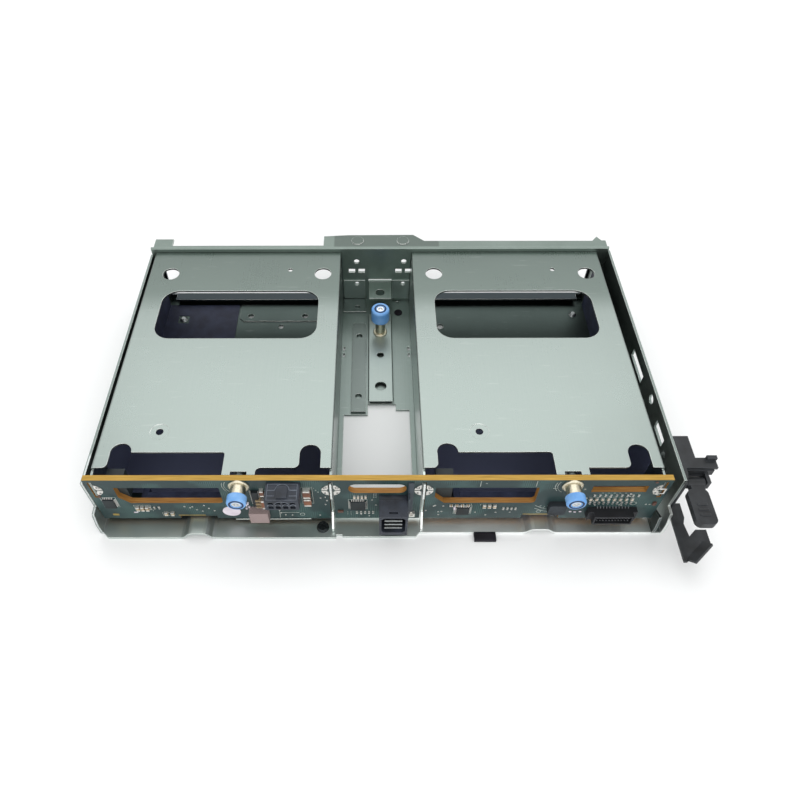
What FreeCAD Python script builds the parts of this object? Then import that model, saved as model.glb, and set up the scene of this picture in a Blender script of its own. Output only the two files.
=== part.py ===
# Two-bay 3.5-inch rear drive cage with its backplane board.
#
# Frame: +X to the right and +Y to the rear of the cage (the side the drives
# go in), seen from the board; +Z up. X = 0 is the middle of the cable channel between the
# two bays, Y = 0 the bare face of the backplane board, Z = 0 the underside of
# the tray. Millimetres throughout.

import FreeCAD
import Part
import operator
import os
import Sketcher
from FreeCAD import Vector

os.makedirs("parts", exist_ok=True)
doc = FreeCAD.newDocument("drive_cage")

# ---------------------------------------------------------------------------
# Driving dimensions
# ---------------------------------------------------------------------------

DIMENSIONS = [
    # the cage as a whole
    ("bay_wide", 108.0, "outer width of one bay cover, a 101.6 mm drive plus carrier and sheet"),
    ("channel_wide", 40.8, "cable channel between the two covers"),
    ("cover_high", 38.0, "top of the covers above the underside of the tray"),
    ("cage_deep", 155.7, "board face to the front of the rear panel"),
    ("tray_sheet", 1.2, "steel sheet of the tray and rear panel"),
    ("cover_sheet", 1.0, "steel sheet of the bay covers"),
    ("seat_gap", 0.3, "clearance between pieces that sit against each other"),
    # tray
    ("left_side_gap", 2.6, "left cover to the inside of the left wall"),
    ("right_side_gap", 6.6, "right cover to the inside of the right wall"),
    ("left_wall_drop", 2.5, "left wall top below the cover top"),
    ("apron_left", 8.7, "floor in front of the board, left bay"),
    ("apron_middle", 8.2, "floor in front of the board, channel"),
    ("apron_right", 6.0, "floor in front of the board, right bay"),
    ("hump_high", 4.0, "left hump pressed up in the floor under the board"),
    ("hump_right_high", 3.0, "right hump pressed up in the floor"),
    ("hump_top_wide", 6.4, "flat top of a hump"),
    ("hump_slope", 5.0, "run of each curved side of a hump"),
    ("hump_deep", 19.0, "length of a hump front to back"),
    ("hump_left_in", 43.4, "left hump from the left side of its bay"),
    ("hump_right_in", 56.9, "right hump from the left side of its bay"),
    ("well_wide", 35.6, "floor opening in the channel"),
    ("well_front_y", 8.0, "front edge of the floor opening"),
    ("well_left_y", 64.6, "rear edge of the floor opening, left part"),
    ("well_mid_y", 72.0, "rear edge of the floor opening, under the bracket"),
    ("well_right_y", 68.0, "rear edge of the floor opening, right part"),
    # bay covers
    ("window_front_y", 86.6, "front edge of the cover window"),
    ("window_rear_y", 122.9, "rear edge of the cover window"),
    ("window_inset_x", 11.2, "cover side to the window"),
    ("window_round", 9.0, "corner radius of the window"),
    ("cover_front_y", 6.9, "front edge of the covers"),
    ("relief_y", 15.3, "front relief of the covers reaches back to here"),
    ("tab_wide", 14.8, "cover tab that reaches the board"),
    ("tab_back", 41.5, "tab and captive screw from the cover's right side"),
    ("lug_high", 12.0, "tab lug bent down behind the board"),
    # board
    ("board_overhang", 2.3, "board end past the outer side of the outer cover"),
    ("board_high", 33.8, "backplane board height"),
    ("board_thick", 2.8, "backplane board thickness"),
    ("board_rise", 4.5, "board bottom above the underside of the tray"),
    ("wall_slot", 1.9, "board slot for a cover wall"),
    # captive screws
    ("knob_round", 8.8, "diameter of a blue knob on the board"),
    ("knob_long", 3.9, "length of a blue knob on the board"),
    ("barrel_round", 7.0, "outside diameter of a board ferrule's barrel"),
    ("barrel_long", 6.8, "height of a board ferrule"),
    ("shank_round", 2.9, "captive screw shank"),
    ("screw_drop", 4.4, "screw axis below the cover top"),
    ("tall_x", 2.3, "channel captive screw"),
    ("tall_back", 31.3, "channel captive screw from the rear panel"),
    ("tall_barrel", 13.0, "height of the channel ferrule"),
    ("tall_barrel_round", 5.8, "outside diameter of the channel ferrule's barrel"),
    ("tall_knob_round", 10.4, "diameter of the channel knob"),
    ("tall_knob_long", 8.0, "length of the channel knob"),
    # latch
    ("latch_deep", 24.0, "latch bracket along the wall"),
    ("shelf_wide", 7.0, "latch bracket shelf"),
    ("ledge_wide", 15.8, "latch bracket front ledge"),
    ("lever_long", 17.6, "lever paddle length"),
    ("lever_wide", 9.2, "lever paddle width"),
    ("lever_thick", 3.4, "lever paddle thickness"),
]


class Size:
    """A length with its number and the sheet formula that gives it."""

    def __init__(self, value, formula):
        self.value = value
        self.formula = formula

    def __add__(self, other):
        return combine(self, "+", other)

    def __radd__(self, other):
        return combine(other, "+", self)

    def __sub__(self, other):
        return combine(self, "-", other)

    def __rsub__(self, other):
        return combine(other, "-", self)

    def __mul__(self, other):
        return combine(self, "*", other)

    def __rmul__(self, other):
        return combine(other, "*", self)

    def __truediv__(self, other):
        return combine(self, "/", other)

    def __neg__(self):
        return combine(0.0, "-", self)


OPERATIONS = {"+": operator.add, "-": operator.sub, "*": operator.mul, "/": operator.truediv}


def as_size(number):
    return number if isinstance(number, Size) else Size(float(number), f"({float(number)!r})")


def combine(first, sign, second):
    first = as_size(first)
    second = as_size(second)
    value = OPERATIONS[sign](first.value, second.value)
    return Size(value, f"({first.formula} {sign} {second.formula})")


sheet = doc.addObject("Spreadsheet::Sheet", "Dims")
for row, (alias, number, note) in enumerate(DIMENSIONS, start=1):
    sheet.set(f"A{row}", alias)
    sheet.set(f"B{row}", str(number))
    sheet.set(f"C{row}", note)
    sheet.setAlias(f"B{row}", alias)
doc.recompute()
D = {alias: Size(sheet.get(alias), f"Dims.{alias}") for alias, number, note in DIMENSIONS}

# ---------------------------------------------------------------------------
# Helpers: binding, sketches, features
# ---------------------------------------------------------------------------

NODES = []


def bind(thing, target, size):
    """Drive one property of an object from the sheet."""
    thing.setExpression(target, as_size(size).formula)


def place(thing, x, y, z):
    sizes = [as_size(x), as_size(y), as_size(z)]
    thing.Placement.Base = Vector(*[size.value for size in sizes])
    for axis, size in zip("xyz", sizes):
        bind(thing, f"Placement.Base.{axis}", size)


def keep(thing, label):
    """Make an object a sub-part: its label is the name of its node and file."""
    thing.Label = label
    NODES.append(thing)
    return thing


def new_body(label, x=0.0, y=0.0, z=0.0):
    body = doc.addObject("PartDesign::Body", label)
    place(body, x, y, z)
    return keep(body, label)


def new_sketch(body, plane, lift=0.0):
    """Sketch on one of the body's own planes, moved along that plane's normal.

    XY looks down: (x, y), normal +Z. XZ: (x, z), normal -Y. YZ: (y, z), normal +X.
    """
    sketch = body.newObject("Sketcher::SketchObject", f"{body.Name}_outline")
    origin = body.Origin.OriginFeatures
    support = [feature for feature in origin if feature.Role == f"{plane}_Plane"][0]
    sketch.AttachmentSupport = [(support, "")]
    sketch.MapMode = "FlatFace"
    lift = as_size(lift)
    sketch.AttachmentOffset.Base = Vector(0, 0, lift.value)
    bind(sketch, "AttachmentOffset.Base.z", lift)
    return sketch


def fix_distance(sketch, kind, geometry, point, size, name):
    size = as_size(size)
    index = sketch.addConstraint(Sketcher.Constraint(kind, -1, 1, geometry, point, size.value))
    sketch.renameConstraint(index, name)
    bind(sketch, f"Constraints.{name}", size)


def polygon(sketch, points):
    """Closed outline of straight edges, every corner driven from the origin."""
    corners = [(as_size(u), as_size(v)) for u, v in points]
    vectors = [Vector(u.value, v.value, 0) for u, v in corners]
    first = sketch.GeometryCount
    count = len(vectors)
    for index in range(count):
        edge = Part.LineSegment(vectors[index], vectors[(index + 1) % count])
        sketch.addGeometry(edge, False)
    for index in range(count):
        here = first + index
        following = first + (index + 1) % count
        sketch.addConstraint(Sketcher.Constraint("Coincident", here, 2, following, 1))
    for index, (u, v) in enumerate(corners):
        fix_distance(sketch, "DistanceX", first + index, 1, u, f"u{first + index}")
        fix_distance(sketch, "DistanceY", first + index, 1, v, f"v{first + index}")


def rectangle(sketch, u0, u1, v0, v1):
    polygon(sketch, [(u0, v0), (u1, v0), (u1, v1), (u0, v1)])


def circle(sketch, u, v, diameter):
    radius = as_size(diameter) / 2
    centre = Vector(as_size(u).value, as_size(v).value, 0)
    round_edge = Part.Circle(centre, Vector(0, 0, 1), radius.value)
    index = sketch.addGeometry(round_edge, False)
    fix_distance(sketch, "DistanceX", index, 3, u, f"u{index}")
    fix_distance(sketch, "DistanceY", index, 3, v, f"v{index}")
    number = sketch.addConstraint(Sketcher.Constraint("Radius", index, radius.value))
    sketch.renameConstraint(number, f"r{index}")
    bind(sketch, f"Constraints.r{index}", radius)


def finish_feature(body, feature, sketch, length, reverse):
    feature.Profile = sketch
    if length is None:
        feature.Type = "ThroughAll"
    else:
        length = as_size(length)
        feature.Length = length.value
        bind(feature, "Length", length)
    feature.Reversed = reverse
    sketch.Visibility = False
    body.Tip = feature
    doc.recompute()
    return feature


def pad(body, sketch, length, reverse=False):
    feature = body.newObject("PartDesign::Pad", f"{body.Name}_pad")
    return finish_feature(body, feature, sketch, length, reverse)


def pocket(body, sketch, length=None, reverse=False):
    """Cut into the body; a cut that removes nothing is a mistake in its direction."""
    before = body.Shape.Volume
    feature = body.newObject("PartDesign::Pocket", f"{body.Name}_pocket")
    finish_feature(body, feature, sketch, length, reverse)
    if body.Shape.Volume > before - 1e-6:
        raise RuntimeError(f"{feature.Name} cuts nothing")
    return feature


def round_edges(body, radius, chosen):
    """Fillet the body's edges whose two ends and middle satisfy a test."""
    base = body.Tip
    names = []
    for index, edge in enumerate(base.Shape.Edges, start=1):
        middle = edge.valueAt((edge.FirstParameter + edge.LastParameter) / 2)
        ends = [vertex.Point for vertex in edge.Vertexes]
        if len(ends) == 2 and chosen(ends[0], ends[1], middle):
            names.append(f"Edge{index}")
    if not names:
        raise RuntimeError(f"no edge to round on {body.Label}")
    feature = body.newObject("PartDesign::Fillet", f"{body.Name}_fillet")
    feature.Base = (base, names)
    radius = as_size(radius)
    feature.Radius = radius.value
    bind(feature, "Radius", radius)
    body.Tip = feature
    doc.recompute()
    return feature


def near(first, second):
    return abs(first - second) < 0.02


def upright_at(*places):
    """Test for round_edges: the upright edges at any of these (x, y) places."""
    spots = [(as_size(x).value, as_size(y).value) for x, y in places]

    def chosen(first, second, middle):
        upright = near(first.x, second.x) and near(first.y, second.y)
        return upright and any(near(middle.x, x) and near(middle.y, y) for x, y in spots)

    return chosen


def block(name, x0, x1, y0, y1, z0, z1):
    """Box between two opposite corners."""
    box = doc.addObject("Part::Box", name)
    spans = [("Length", x0, x1), ("Width", y0, y1), ("Height", z0, z1)]
    for target, low, high in spans:
        span = as_size(high) - low
        setattr(box, target, span.value)
        bind(box, target, span)
    place(box, x0, y0, z0)
    return box


TURNS = {
    "X": FreeCAD.Rotation(Vector(0, 1, 0), 90),
    "Y": FreeCAD.Rotation(Vector(1, 0, 0), -90),
    "Z": FreeCAD.Rotation(),
}


def rod(name, axis, x, y, z, diameter, length):
    """Cylinder that starts at a point and runs along +X, +Y or +Z."""
    cylinder = doc.addObject("Part::Cylinder", name)
    radius = as_size(diameter) / 2
    length = as_size(length)
    cylinder.Radius = radius.value
    cylinder.Height = length.value
    bind(cylinder, "Radius", radius)
    bind(cylinder, "Height", length)
    cylinder.Placement.Rotation = TURNS[axis]
    place(cylinder, x, y, z)
    return cylinder


def cone(name, axis, x, y, z, diameter_low, diameter_high, length):
    """Cone that starts at a point and runs along +X, +Y or +Z."""
    solid = doc.addObject("Part::Cone", name)
    targets = [("Radius1", as_size(diameter_low) / 2)]
    targets.append(("Radius2", as_size(diameter_high) / 2))
    targets.append(("Height", as_size(length)))
    for target, size in targets:
        setattr(solid, target, size.value)
        bind(solid, target, size)
    solid.Placement.Rotation = TURNS[axis]
    place(solid, x, y, z)
    return solid


def fused(name, pieces):
    union = doc.addObject("Part::MultiFuse", name)
    union.Shapes = pieces
    union.Refine = True
    return union


def cut(name, base, tools):
    """Take one or more tools away from a base."""
    tool = tools[0] if len(tools) == 1 else fused(f"{name}_tools", tools)
    result = doc.addObject("Part::Cut", name)
    result.Base = base
    result.Tool = tool
    result.Refine = True
    return result


def group(label, pieces):
    """Like pieces that share one node, each a solid of its own."""
    bundle = doc.addObject("Part::Compound", label)
    bundle.Links = pieces
    return keep(bundle, label)


def turned(label, outline, seat, lying):
    """Solid of revolution: outline points are (radius, height above its seat).

    A standing piece has its axis along +Z; a lying one points to -Y, out of the board.
    """
    body = new_body(label, *seat)
    if lying:
        body.Placement.Rotation = FreeCAD.Rotation(Vector(1, 0, 0), 90)
    sketch = new_sketch(body, "XZ")
    polygon(sketch, outline)
    feature = body.newObject("PartDesign::Revolution", f"{body.Name}_turn")
    feature.Profile = sketch
    feature.ReferenceAxis = (sketch, ["V_Axis"])
    feature.Angle = 360.0
    body.Tip = feature
    doc.recompute()
    return body


# ---------------------------------------------------------------------------
# Places worked out from the driving dimensions
# ---------------------------------------------------------------------------

HALF_CHANNEL = D["channel_wide"] / 2
LEFT_BAY_X = -HALF_CHANNEL - D["bay_wide"]
RIGHT_BAY_X = HALF_CHANNEL
WALL_LEFT = LEFT_BAY_X - D["left_side_gap"]
WALL_RIGHT = RIGHT_BAY_X + D["bay_wide"] + D["right_side_gap"]
OUT_LEFT = WALL_LEFT - D["tray_sheet"]
OUT_RIGHT = WALL_RIGHT + D["tray_sheet"]
FLOOR = D["tray_sheet"]
TOP = D["cover_high"]
REAR = D["cage_deep"]
COVER_REAR = REAR - D["seat_gap"]
HALF_WELL = D["well_wide"] / 2
SCREW_Z = TOP - D["screw_drop"]
BOARD_TOP = D["board_rise"] + D["board_high"]
HALF_BOARD = HALF_CHANNEL + D["bay_wide"] + D["board_overhang"]
COVER_TAB_Y = D["board_thick"] + D["seat_gap"]
HALF_TAB = D["tab_wide"] / 2
TAB_X = D["bay_wide"] - D["tab_back"]
TAB_LEFT = TAB_X - HALF_TAB
TAB_RIGHT = TAB_X + HALF_TAB
LEFT_TAB_X = LEFT_BAY_X + TAB_X
RIGHT_TAB_X = RIGHT_BAY_X + TAB_X
RIGHT_END = RIGHT_BAY_X + D["bay_wide"]
HUMP_LEFT_X = LEFT_BAY_X + D["hump_left_in"]
HUMP_RIGHT_X = RIGHT_BAY_X + D["hump_right_in"]
WALL_TAB_LOW = TOP - 14.0
WALL_TAB_HIGH = TOP - 1.7
TALL_X = D["tall_x"]
TALL_Y = REAR - D["tall_back"]
BRACKET_TOP = FLOOR + 2.5
PLUG_SPOT = (13.5, 143.3)
PLUG_HOLE = 3.4

# ---------------------------------------------------------------------------
# Folded steel: tray, rear panel, bay covers, channel brackets
# ---------------------------------------------------------------------------


def wall_outline(rear, top):
    """Side wall seen from the side, with its nose that runs out over the apron."""
    nose = -D["apron_right"]
    return [(rear, 0), (rear, top), (0, top), (0, 16), (nose + 1.5, 15.6), (nose, 8.4), (nose, 0)]


# side of a hump: share of its run, share of its height
HUMP_CURVE = [(1.0, 0.0), (0.7, 0.14), (0.42, 0.6), (0.18, 0.9), (-0.1, 1.0)]


def hump_curve(centre, high, base):
    """Bell-shaped line across a hump from its left foot to its right."""
    flat = D["hump_top_wide"] / 2
    left = []
    right = []
    for run, rise in HUMP_CURVE:
        out = flat + D["hump_slope"] * run
        left.append((centre - out, base + high * rise))
        right.append((centre + out, base + high * rise))
    return left + right[::-1]


def hump_outline(centre, high):
    crest = hump_curve(centre, high, FLOOR)
    return [(crest[0][0], 0)] + crest + [(crest[-1][0], 0)]


def hump_hollow(centre, high):
    crest = hump_curve(centre, high, FLOOR - D["tray_sheet"])
    return [(crest[0][0], -0.1)] + crest[1:-1] + [(crest[-1][0], -0.1)]


def make_tray():
    body = new_body("tray")
    rear = REAR + D["tray_sheet"]
    floor = new_sketch(body, "XY")
    corner = OUT_LEFT + 4.2
    step = -HALF_CHANNEL + 0.9
    notch = step + 3.0
    nose = -D["apron_right"]
    front_left = [(OUT_LEFT, nose), (OUT_LEFT + 1.6, nose)]
    front_left += [(corner, -D["apron_left"]), (step, -D["apron_left"])]
    front_mid = [(step, -7.1), (notch, -7.1), (notch, -D["apron_middle"])]
    front_mid.append((HALF_CHANNEL - 2.0, -D["apron_middle"]))
    front_right = [(HALF_CHANNEL - 0.4, -D["apron_right"]), (OUT_RIGHT, -D["apron_right"])]
    polygon(floor, front_left + front_mid + front_right + [(OUT_RIGHT, rear), (OUT_LEFT, rear)])
    pad(body, floor, FLOOR)

    left = new_sketch(body, "YZ", OUT_LEFT)
    polygon(left, wall_outline(rear, TOP - D["left_wall_drop"]))
    pad(body, left, D["tray_sheet"])
    right = new_sketch(body, "YZ", WALL_RIGHT)
    polygon(right, wall_outline(rear, TOP))
    pad(body, right, D["tray_sheet"])

    # end stop for the board, turned up from the right end of the apron
    stop = new_sketch(body, "YZ", HALF_BOARD + D["seat_gap"])
    polygon(stop, [(6, 0), (6, 8), (0, 10.6), (-4.6, 12.8), (nose + 0.2, 5), (nose + 0.2, 0)])
    pad(body, stop, D["tray_sheet"])

    # humps pressed up through the floor, hollow underneath
    left_hump = (HUMP_LEFT_X, D["apron_left"], D["hump_high"])
    right_hump = (HUMP_RIGHT_X, D["apron_right"], D["hump_right_high"])
    for centre, front, high in (left_hump, right_hump):
        hump = new_sketch(body, "XZ", front)
        polygon(hump, hump_outline(centre, high))
        pad(body, hump, D["hump_deep"], reverse=True)
        hollow = new_sketch(body, "XZ", front + 1)
        polygon(hollow, hump_hollow(centre, high))
        pocket(body, hollow, D["hump_deep"] + 1 - D["tray_sheet"])

    # raised pad with the drive's screw holes, in the left bay only
    raised = new_sketch(body, "XY", FLOOR)
    pad_left = -HALF_CHANNEL - 62.6
    pad_right = -HALF_CHANNEL - 6
    corner = [(pad_left, 138.2), (pad_left + 2.4, 135.8), (pad_right, 135.8)]
    polygon(raised, corner + [(pad_right, 150), (pad_left, 150)])
    pad(body, raised, 0.6)

    well = new_sketch(body, "XY")
    middle = [(10.4, D["well_right_y"]), (10.4, D["well_mid_y"]), (-4.9, D["well_mid_y"])]
    front = [(-HALF_WELL, D["well_front_y"]), (HALF_WELL, D["well_front_y"])]
    rear_left = [(-4.9, D["well_left_y"]), (-HALF_WELL, D["well_left_y"])]
    polygon(well, front + [(HALF_WELL, D["well_right_y"])] + middle + rear_left)
    pocket(body, well, FLOOR + 1, reverse=True)

    holes = new_sketch(body, "XY")
    circle(holes, TALL_X, TALL_Y, 3.4)
    circle(holes, *PLUG_SPOT, PLUG_HOLE)
    circle(holes, -HALF_CHANNEL - 56, 140, 3.6)
    circle(holes, -HALF_CHANNEL - 23, 140, 3.6)
    circle(holes, -HALF_CHANNEL - 37, 131.5, 3.0)
    circle(holes, RIGHT_BAY_X + 18, 131.5, 4.2)
    for side in (-1, 1):
        for slot_y in (107, 112):
            edge = side * (HALF_CHANNEL - 1.6)
            rectangle(holes, edge - 0.6, edge + 0.6, slot_y, slot_y + 2.6)
    pocket(body, holes, FLOOR + 1, reverse=True)
    dimple = new_sketch(body, "XY", FLOOR)
    circle(dimple, 13.1, 152.2, 2.6)
    pocket(body, dimple, 0.5)

    slots = new_sketch(body, "YZ", OUT_RIGHT + 0.5)
    rectangle(slots, 65.6, 84.9, TOP - 11.5, TOP - 6.5)
    rectangle(slots, 26, 38.2, TOP - 11.5, TOP - 6.5)
    circle(slots, 50.5, TOP - 6, 5.0)
    pocket(body, slots, D["tray_sheet"] + 1)

    def long_fold(first, second, middle):
        outer = near(middle.x, OUT_LEFT.value) or near(middle.x, OUT_RIGHT.value)
        return outer and near(middle.z, 0) and abs(first.y - second.y) > 100

    round_edges(body, 1.2, long_fold)
    return body


def make_rear_panel():
    body = new_body("rear_panel")
    top = TOP + 3.0
    panel = new_sketch(body, "XZ", -REAR)
    rectangle(panel, WALL_LEFT, WALL_RIGHT, FLOOR, top)
    pad(body, panel, D["tray_sheet"], reverse=True)

    # flange folded back along the top, with its raised middle tongue and end tabs
    flange = new_sketch(body, "XY", top - D["tray_sheet"])
    left_end = WALL_LEFT + 1.6
    right_end = WALL_RIGHT - 1.0
    left_tab = [(left_end, REAR), (left_end, REAR + 8.4), (left_end + 10.6, REAR + 8.4)]
    left_rail = [(left_end + 10.6, REAR + 2.4), (-30.7, REAR + 2.4)]
    tongue = [(-30.7, REAR + 10.9), (-16.6, REAR + 11.9), (21.8, REAR + 12.1), (28, REAR + 6.5)]
    right_rail = [(right_end - 7.8, REAR + 6.3), (right_end - 4.6, REAR + 10.2)]
    right_tab = [(right_end - 2.4, REAR + 6.6), (right_end, REAR + 6.6), (right_end, REAR)]
    polygon(flange, left_tab + left_rail + tongue + right_rail + right_tab)
    pad(body, flange, D["tray_sheet"])

    # sill lips turned in under each drive, and the small shelf in the channel
    for bay in (LEFT_BAY_X, RIGHT_BAY_X):
        lip = new_sketch(body, "XY", 4.0)
        rectangle(lip, bay + 5, bay + D["bay_wide"] - 5, REAR - 4.7, REAR + 0.5)
        pad(body, lip, D["tray_sheet"])
    shelf = new_sketch(body, "XY", 14.8)
    rectangle(shelf, TALL_X - 6.6, TALL_X + 6.6, REAR - 15.5, REAR + 0.5)
    pad(body, shelf, D["tray_sheet"])
    shelf_hole = new_sketch(body, "XY", 16.5)
    circle(shelf_hole, TALL_X, REAR - 10.4, 5.4)
    pocket(body, shelf_hole, 3)

    openings = new_sketch(body, "XZ", -REAR + 1)
    for bay in (LEFT_BAY_X, RIGHT_BAY_X):
        rectangle(openings, bay + 2.2, bay + D["bay_wide"] - 2.2, 5.2, TOP - 2)
    pocket(body, openings, D["tray_sheet"] + 2)

    # light openings and the lanced slot above the shelf
    lights = new_sketch(body, "XZ", -REAR + 1)
    for centre in (TALL_X - 13.9, TALL_X + 13.9):
        circle(lights, centre, TOP - 7.0, 3.2)
        circle(lights, centre, TOP - 23.5, 2.6)
        for offset in (-2.9, 2.9):
            rectangle(lights, centre + offset - 1.9, centre + offset + 1.9, TOP - 15.4, TOP - 12.6)
    rectangle(lights, TALL_X - 7.0, TALL_X + 7.0, 16.0, 17.4)
    pocket(body, lights, D["tray_sheet"] + 2)

    # two shallow bosses on the tongue
    bosses = new_sketch(body, "XY", top)
    circle(bosses, TALL_X - 13.2, REAR + 6.6, 7.0)
    circle(bosses, TALL_X + 13.2, REAR + 6.6, 7.0)
    pad(body, bosses, 0.4)

    def top_fold(first, second, middle):
        return near(middle.y, REAR.value) and near(middle.z, top.value) and abs(first.x - second.x) > 50

    round_edges(body, 1.0, top_fold)
    return body


def cover_side(carries_gusset):
    """Cover wall from the side: a tab through the board, and a gusset under it."""
    tip = -1.2 if carries_gusset else 0.4
    tab = [(D["cover_front_y"], WALL_TAB_HIGH), (tip, WALL_TAB_HIGH), (tip, WALL_TAB_LOW)]
    if carries_gusset:
        low = [(-0.1, WALL_TAB_LOW), (-0.1, 12), (-1.0, 12), (-5.7, 4.2), (-5.7, FLOOR)]
    else:
        low = [(COVER_TAB_Y, WALL_TAB_LOW), (COVER_TAB_Y, FLOOR)]
    top = [(COVER_REAR, FLOOR), (COVER_REAR, TOP), (D["cover_front_y"], TOP)]
    return top + tab + low


def make_bay_cover(label, bay_x, gusset_on_left):
    body = new_body(label, bay_x)
    wide = D["bay_wide"]
    sheet_thick = D["cover_sheet"]
    front = D["cover_front_y"]
    under = TOP - sheet_thick
    top = new_sketch(body, "XY", under)
    rectangle(top, 0, wide, front, COVER_REAR)
    pad(body, top, sheet_thick)
    for lift, gusset in [(as_size(0), gusset_on_left), (wide - sheet_thick, not gusset_on_left)]:
        side = new_sketch(body, "YZ", lift)
        polygon(side, cover_side(gusset))
        pad(body, side, sheet_thick)

    # tab that reaches the board, with its lug folded down behind it
    tab = new_sketch(body, "XY", under)
    rectangle(tab, TAB_LEFT, TAB_RIGHT, COVER_TAB_Y, front + 0.5)
    pad(body, tab, sheet_thick)
    lug = new_sketch(body, "XZ", -COVER_TAB_Y)
    rectangle(lug, TAB_LEFT, TAB_RIGHT, TOP - D["lug_high"], TOP)
    pad(body, lug, sheet_thick, reverse=True)
    lug_hole = new_sketch(body, "XZ", -COVER_TAB_Y + 1)
    circle(lug_hole, TAB_X, SCREW_Z, 3.2)
    pocket(body, lug_hole, sheet_thick + 2)

    # reliefs in the front edge: one long with a round corner bite, one tall and round
    relief_left = 11.6 - 4.7
    relief = new_sketch(body, "XY", TOP)
    rectangle(relief, relief_left, TAB_LEFT, front - 1, D["relief_y"])
    pocket(body, relief, sheet_thick + 1)
    bite = new_sketch(body, "XY", TOP)
    circle(bite, 11.6, D["relief_y"], 9.6)
    pocket(body, bite, sheet_thick + 1)
    notch_left = wide - 14.8
    notch = new_sketch(body, "XY", TOP)
    rectangle(notch, notch_left, wide - 5.2, front - 1, D["relief_y"] - 0.6)
    pocket(body, notch, sheet_thick + 1)
    notch_end = new_sketch(body, "XY", TOP)
    circle(notch_end, wide - 10, D["relief_y"] - 0.7, 9.58)
    pocket(body, notch_end, sheet_thick + 1)
    bend_slot = new_sketch(body, "XY", TOP)
    rectangle(bend_slot, TAB_X - 3.7, TAB_X + 3.7, COVER_TAB_Y - 0.1, COVER_TAB_Y + 1.8)
    pocket(body, bend_slot, 2.2)
    corners = [(relief_left, front), (notch_left, front)]
    if not gusset_on_left:
        corners.append((TAB_RIGHT, front))
    round_edges(body, 2.4, upright_at(*corners))
    round_edges(body, 1.4, upright_at((TAB_LEFT, D["relief_y"])))

    window = new_sketch(body, "XY", TOP)
    inset = D["window_inset_x"]
    rectangle(window, inset, wide - inset, D["window_front_y"], D["window_rear_y"])
    pocket(body, window, sheet_thick + 1)
    dimple = new_sketch(body, "XY", TOP)
    circle(dimple, 27.1, 26.8, 8.8)
    pocket(body, dimple, 0.2)
    holes = new_sketch(body, "XY", TOP)
    circle(holes, 12.1, 137.0, 9.4)
    circle(holes, wide - 9.8, 137.0, 9.4)
    circle(holes, wide - 28.5, 140.2, 2.6)
    circle(holes, 27.1, 26.8, 3.6)
    pocket(body, holes, sheet_thick + 1)

    def window_corner(first, second, middle):
        side = near(middle.x, inset.value) or near(middle.x, (wide - inset).value)
        end = near(middle.y, D["window_front_y"].value) or near(middle.y, D["window_rear_y"].value)
        return side and end and near(first.x, second.x) and near(first.y, second.y)

    def long_fold(first, second, middle):
        outer = near(middle.x, 0) or near(middle.x, wide.value)
        return outer and near(middle.z, TOP.value) and abs(first.y - second.y) > 100

    round_edges(body, D["window_round"], window_corner)
    round_edges(body, 0.9, long_fold)
    return body


def make_channel_bracket():
    """Hat section along the middle of the channel floor."""
    body = new_body("channel_bracket")
    x0 = TALL_X - 7.0
    x1 = TALL_X + 7.0
    web = BRACKET_TOP - 1.0
    outer = [(x0, FLOOR), (x0, BRACKET_TOP), (x1, BRACKET_TOP), (x1, FLOOR)]
    inner = [(x1 - 1, FLOOR), (x1 - 1, web), (x0 + 1, web), (x0 + 1, FLOOR)]
    hat = new_sketch(body, "XZ", -(D["well_mid_y"] + 0.3))
    polygon(hat, outer + inner)
    pad(body, hat, 67.0, reverse=True)
    holes = new_sketch(body, "XY", BRACKET_TOP)
    circle(holes, TALL_X, 82.8, 6.4)
    circle(holes, TALL_X, 106.1, 4.0)
    circle(holes, TALL_X, TALL_Y, 3.4)
    pocket(body, holes, 2.0)

    def shoulder(first, second, middle):
        side = near(middle.x, x0.value) or near(middle.x, x1.value)
        return side and near(middle.z, BRACKET_TOP.value) and abs(first.y - second.y) > 30

    round_edges(body, 0.8, shoulder)
    return body


def make_channel_rail():
    """Flat strip beside the bracket, with two countersunk holes."""
    body = new_body("channel_rail")
    strip = new_sketch(body, "XY", FLOOR)
    rectangle(strip, -14.0, -6.0, D["well_left_y"] + 1.2, 133)
    pad(body, strip, 1.5)
    holes = new_sketch(body, "XY", FLOOR + 1.5)
    circle(holes, -10, 76.4, 3.6)
    circle(holes, -10, 122.1, 3.6)
    pocket(body, holes, 2.0)

    def rear_corner(first, second, middle):
        return near(middle.y, 133) and near(first.x, second.x) and near(first.y, second.y)

    round_edges(body, 1.5, rear_corner)
    return body


def make_channel_plates():
    """Small patch plate on the floor and the two plates behind the lights."""
    patch_hole = rod("patch_hole", "Z", -11.5, 147.4, FLOOR - 1, 3.0, 3)
    patch = block("patch_sheet", 0.3 - HALF_CHANNEL, -6.2, 143.4, 155, FLOOR, FLOOR + 1.0)
    keep(cut("channel_patch", patch, [patch_hole]), "channel_patch")
    plates = []
    for side, x0, x1 in [("left", 0.8 - HALF_CHANNEL, -6.8), ("right", 9.8, HALF_CHANNEL - 0.4)]:
        centre = TALL_X - 13.9 if side == "left" else TALL_X + 13.9
        sheet_box = block(f"light_plate_{side}", x0, x1, REAR - 0.7, REAR, 2.6, TOP - 21)
        hole = rod(f"light_plate_hole_{side}", "Y", centre, REAR - 2, TOP - 23.5, 2.8, 4)
        plates.append(cut(f"light_plate_cut_{side}", sheet_box, [hole]))
    group("light_plates", plates)


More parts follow.
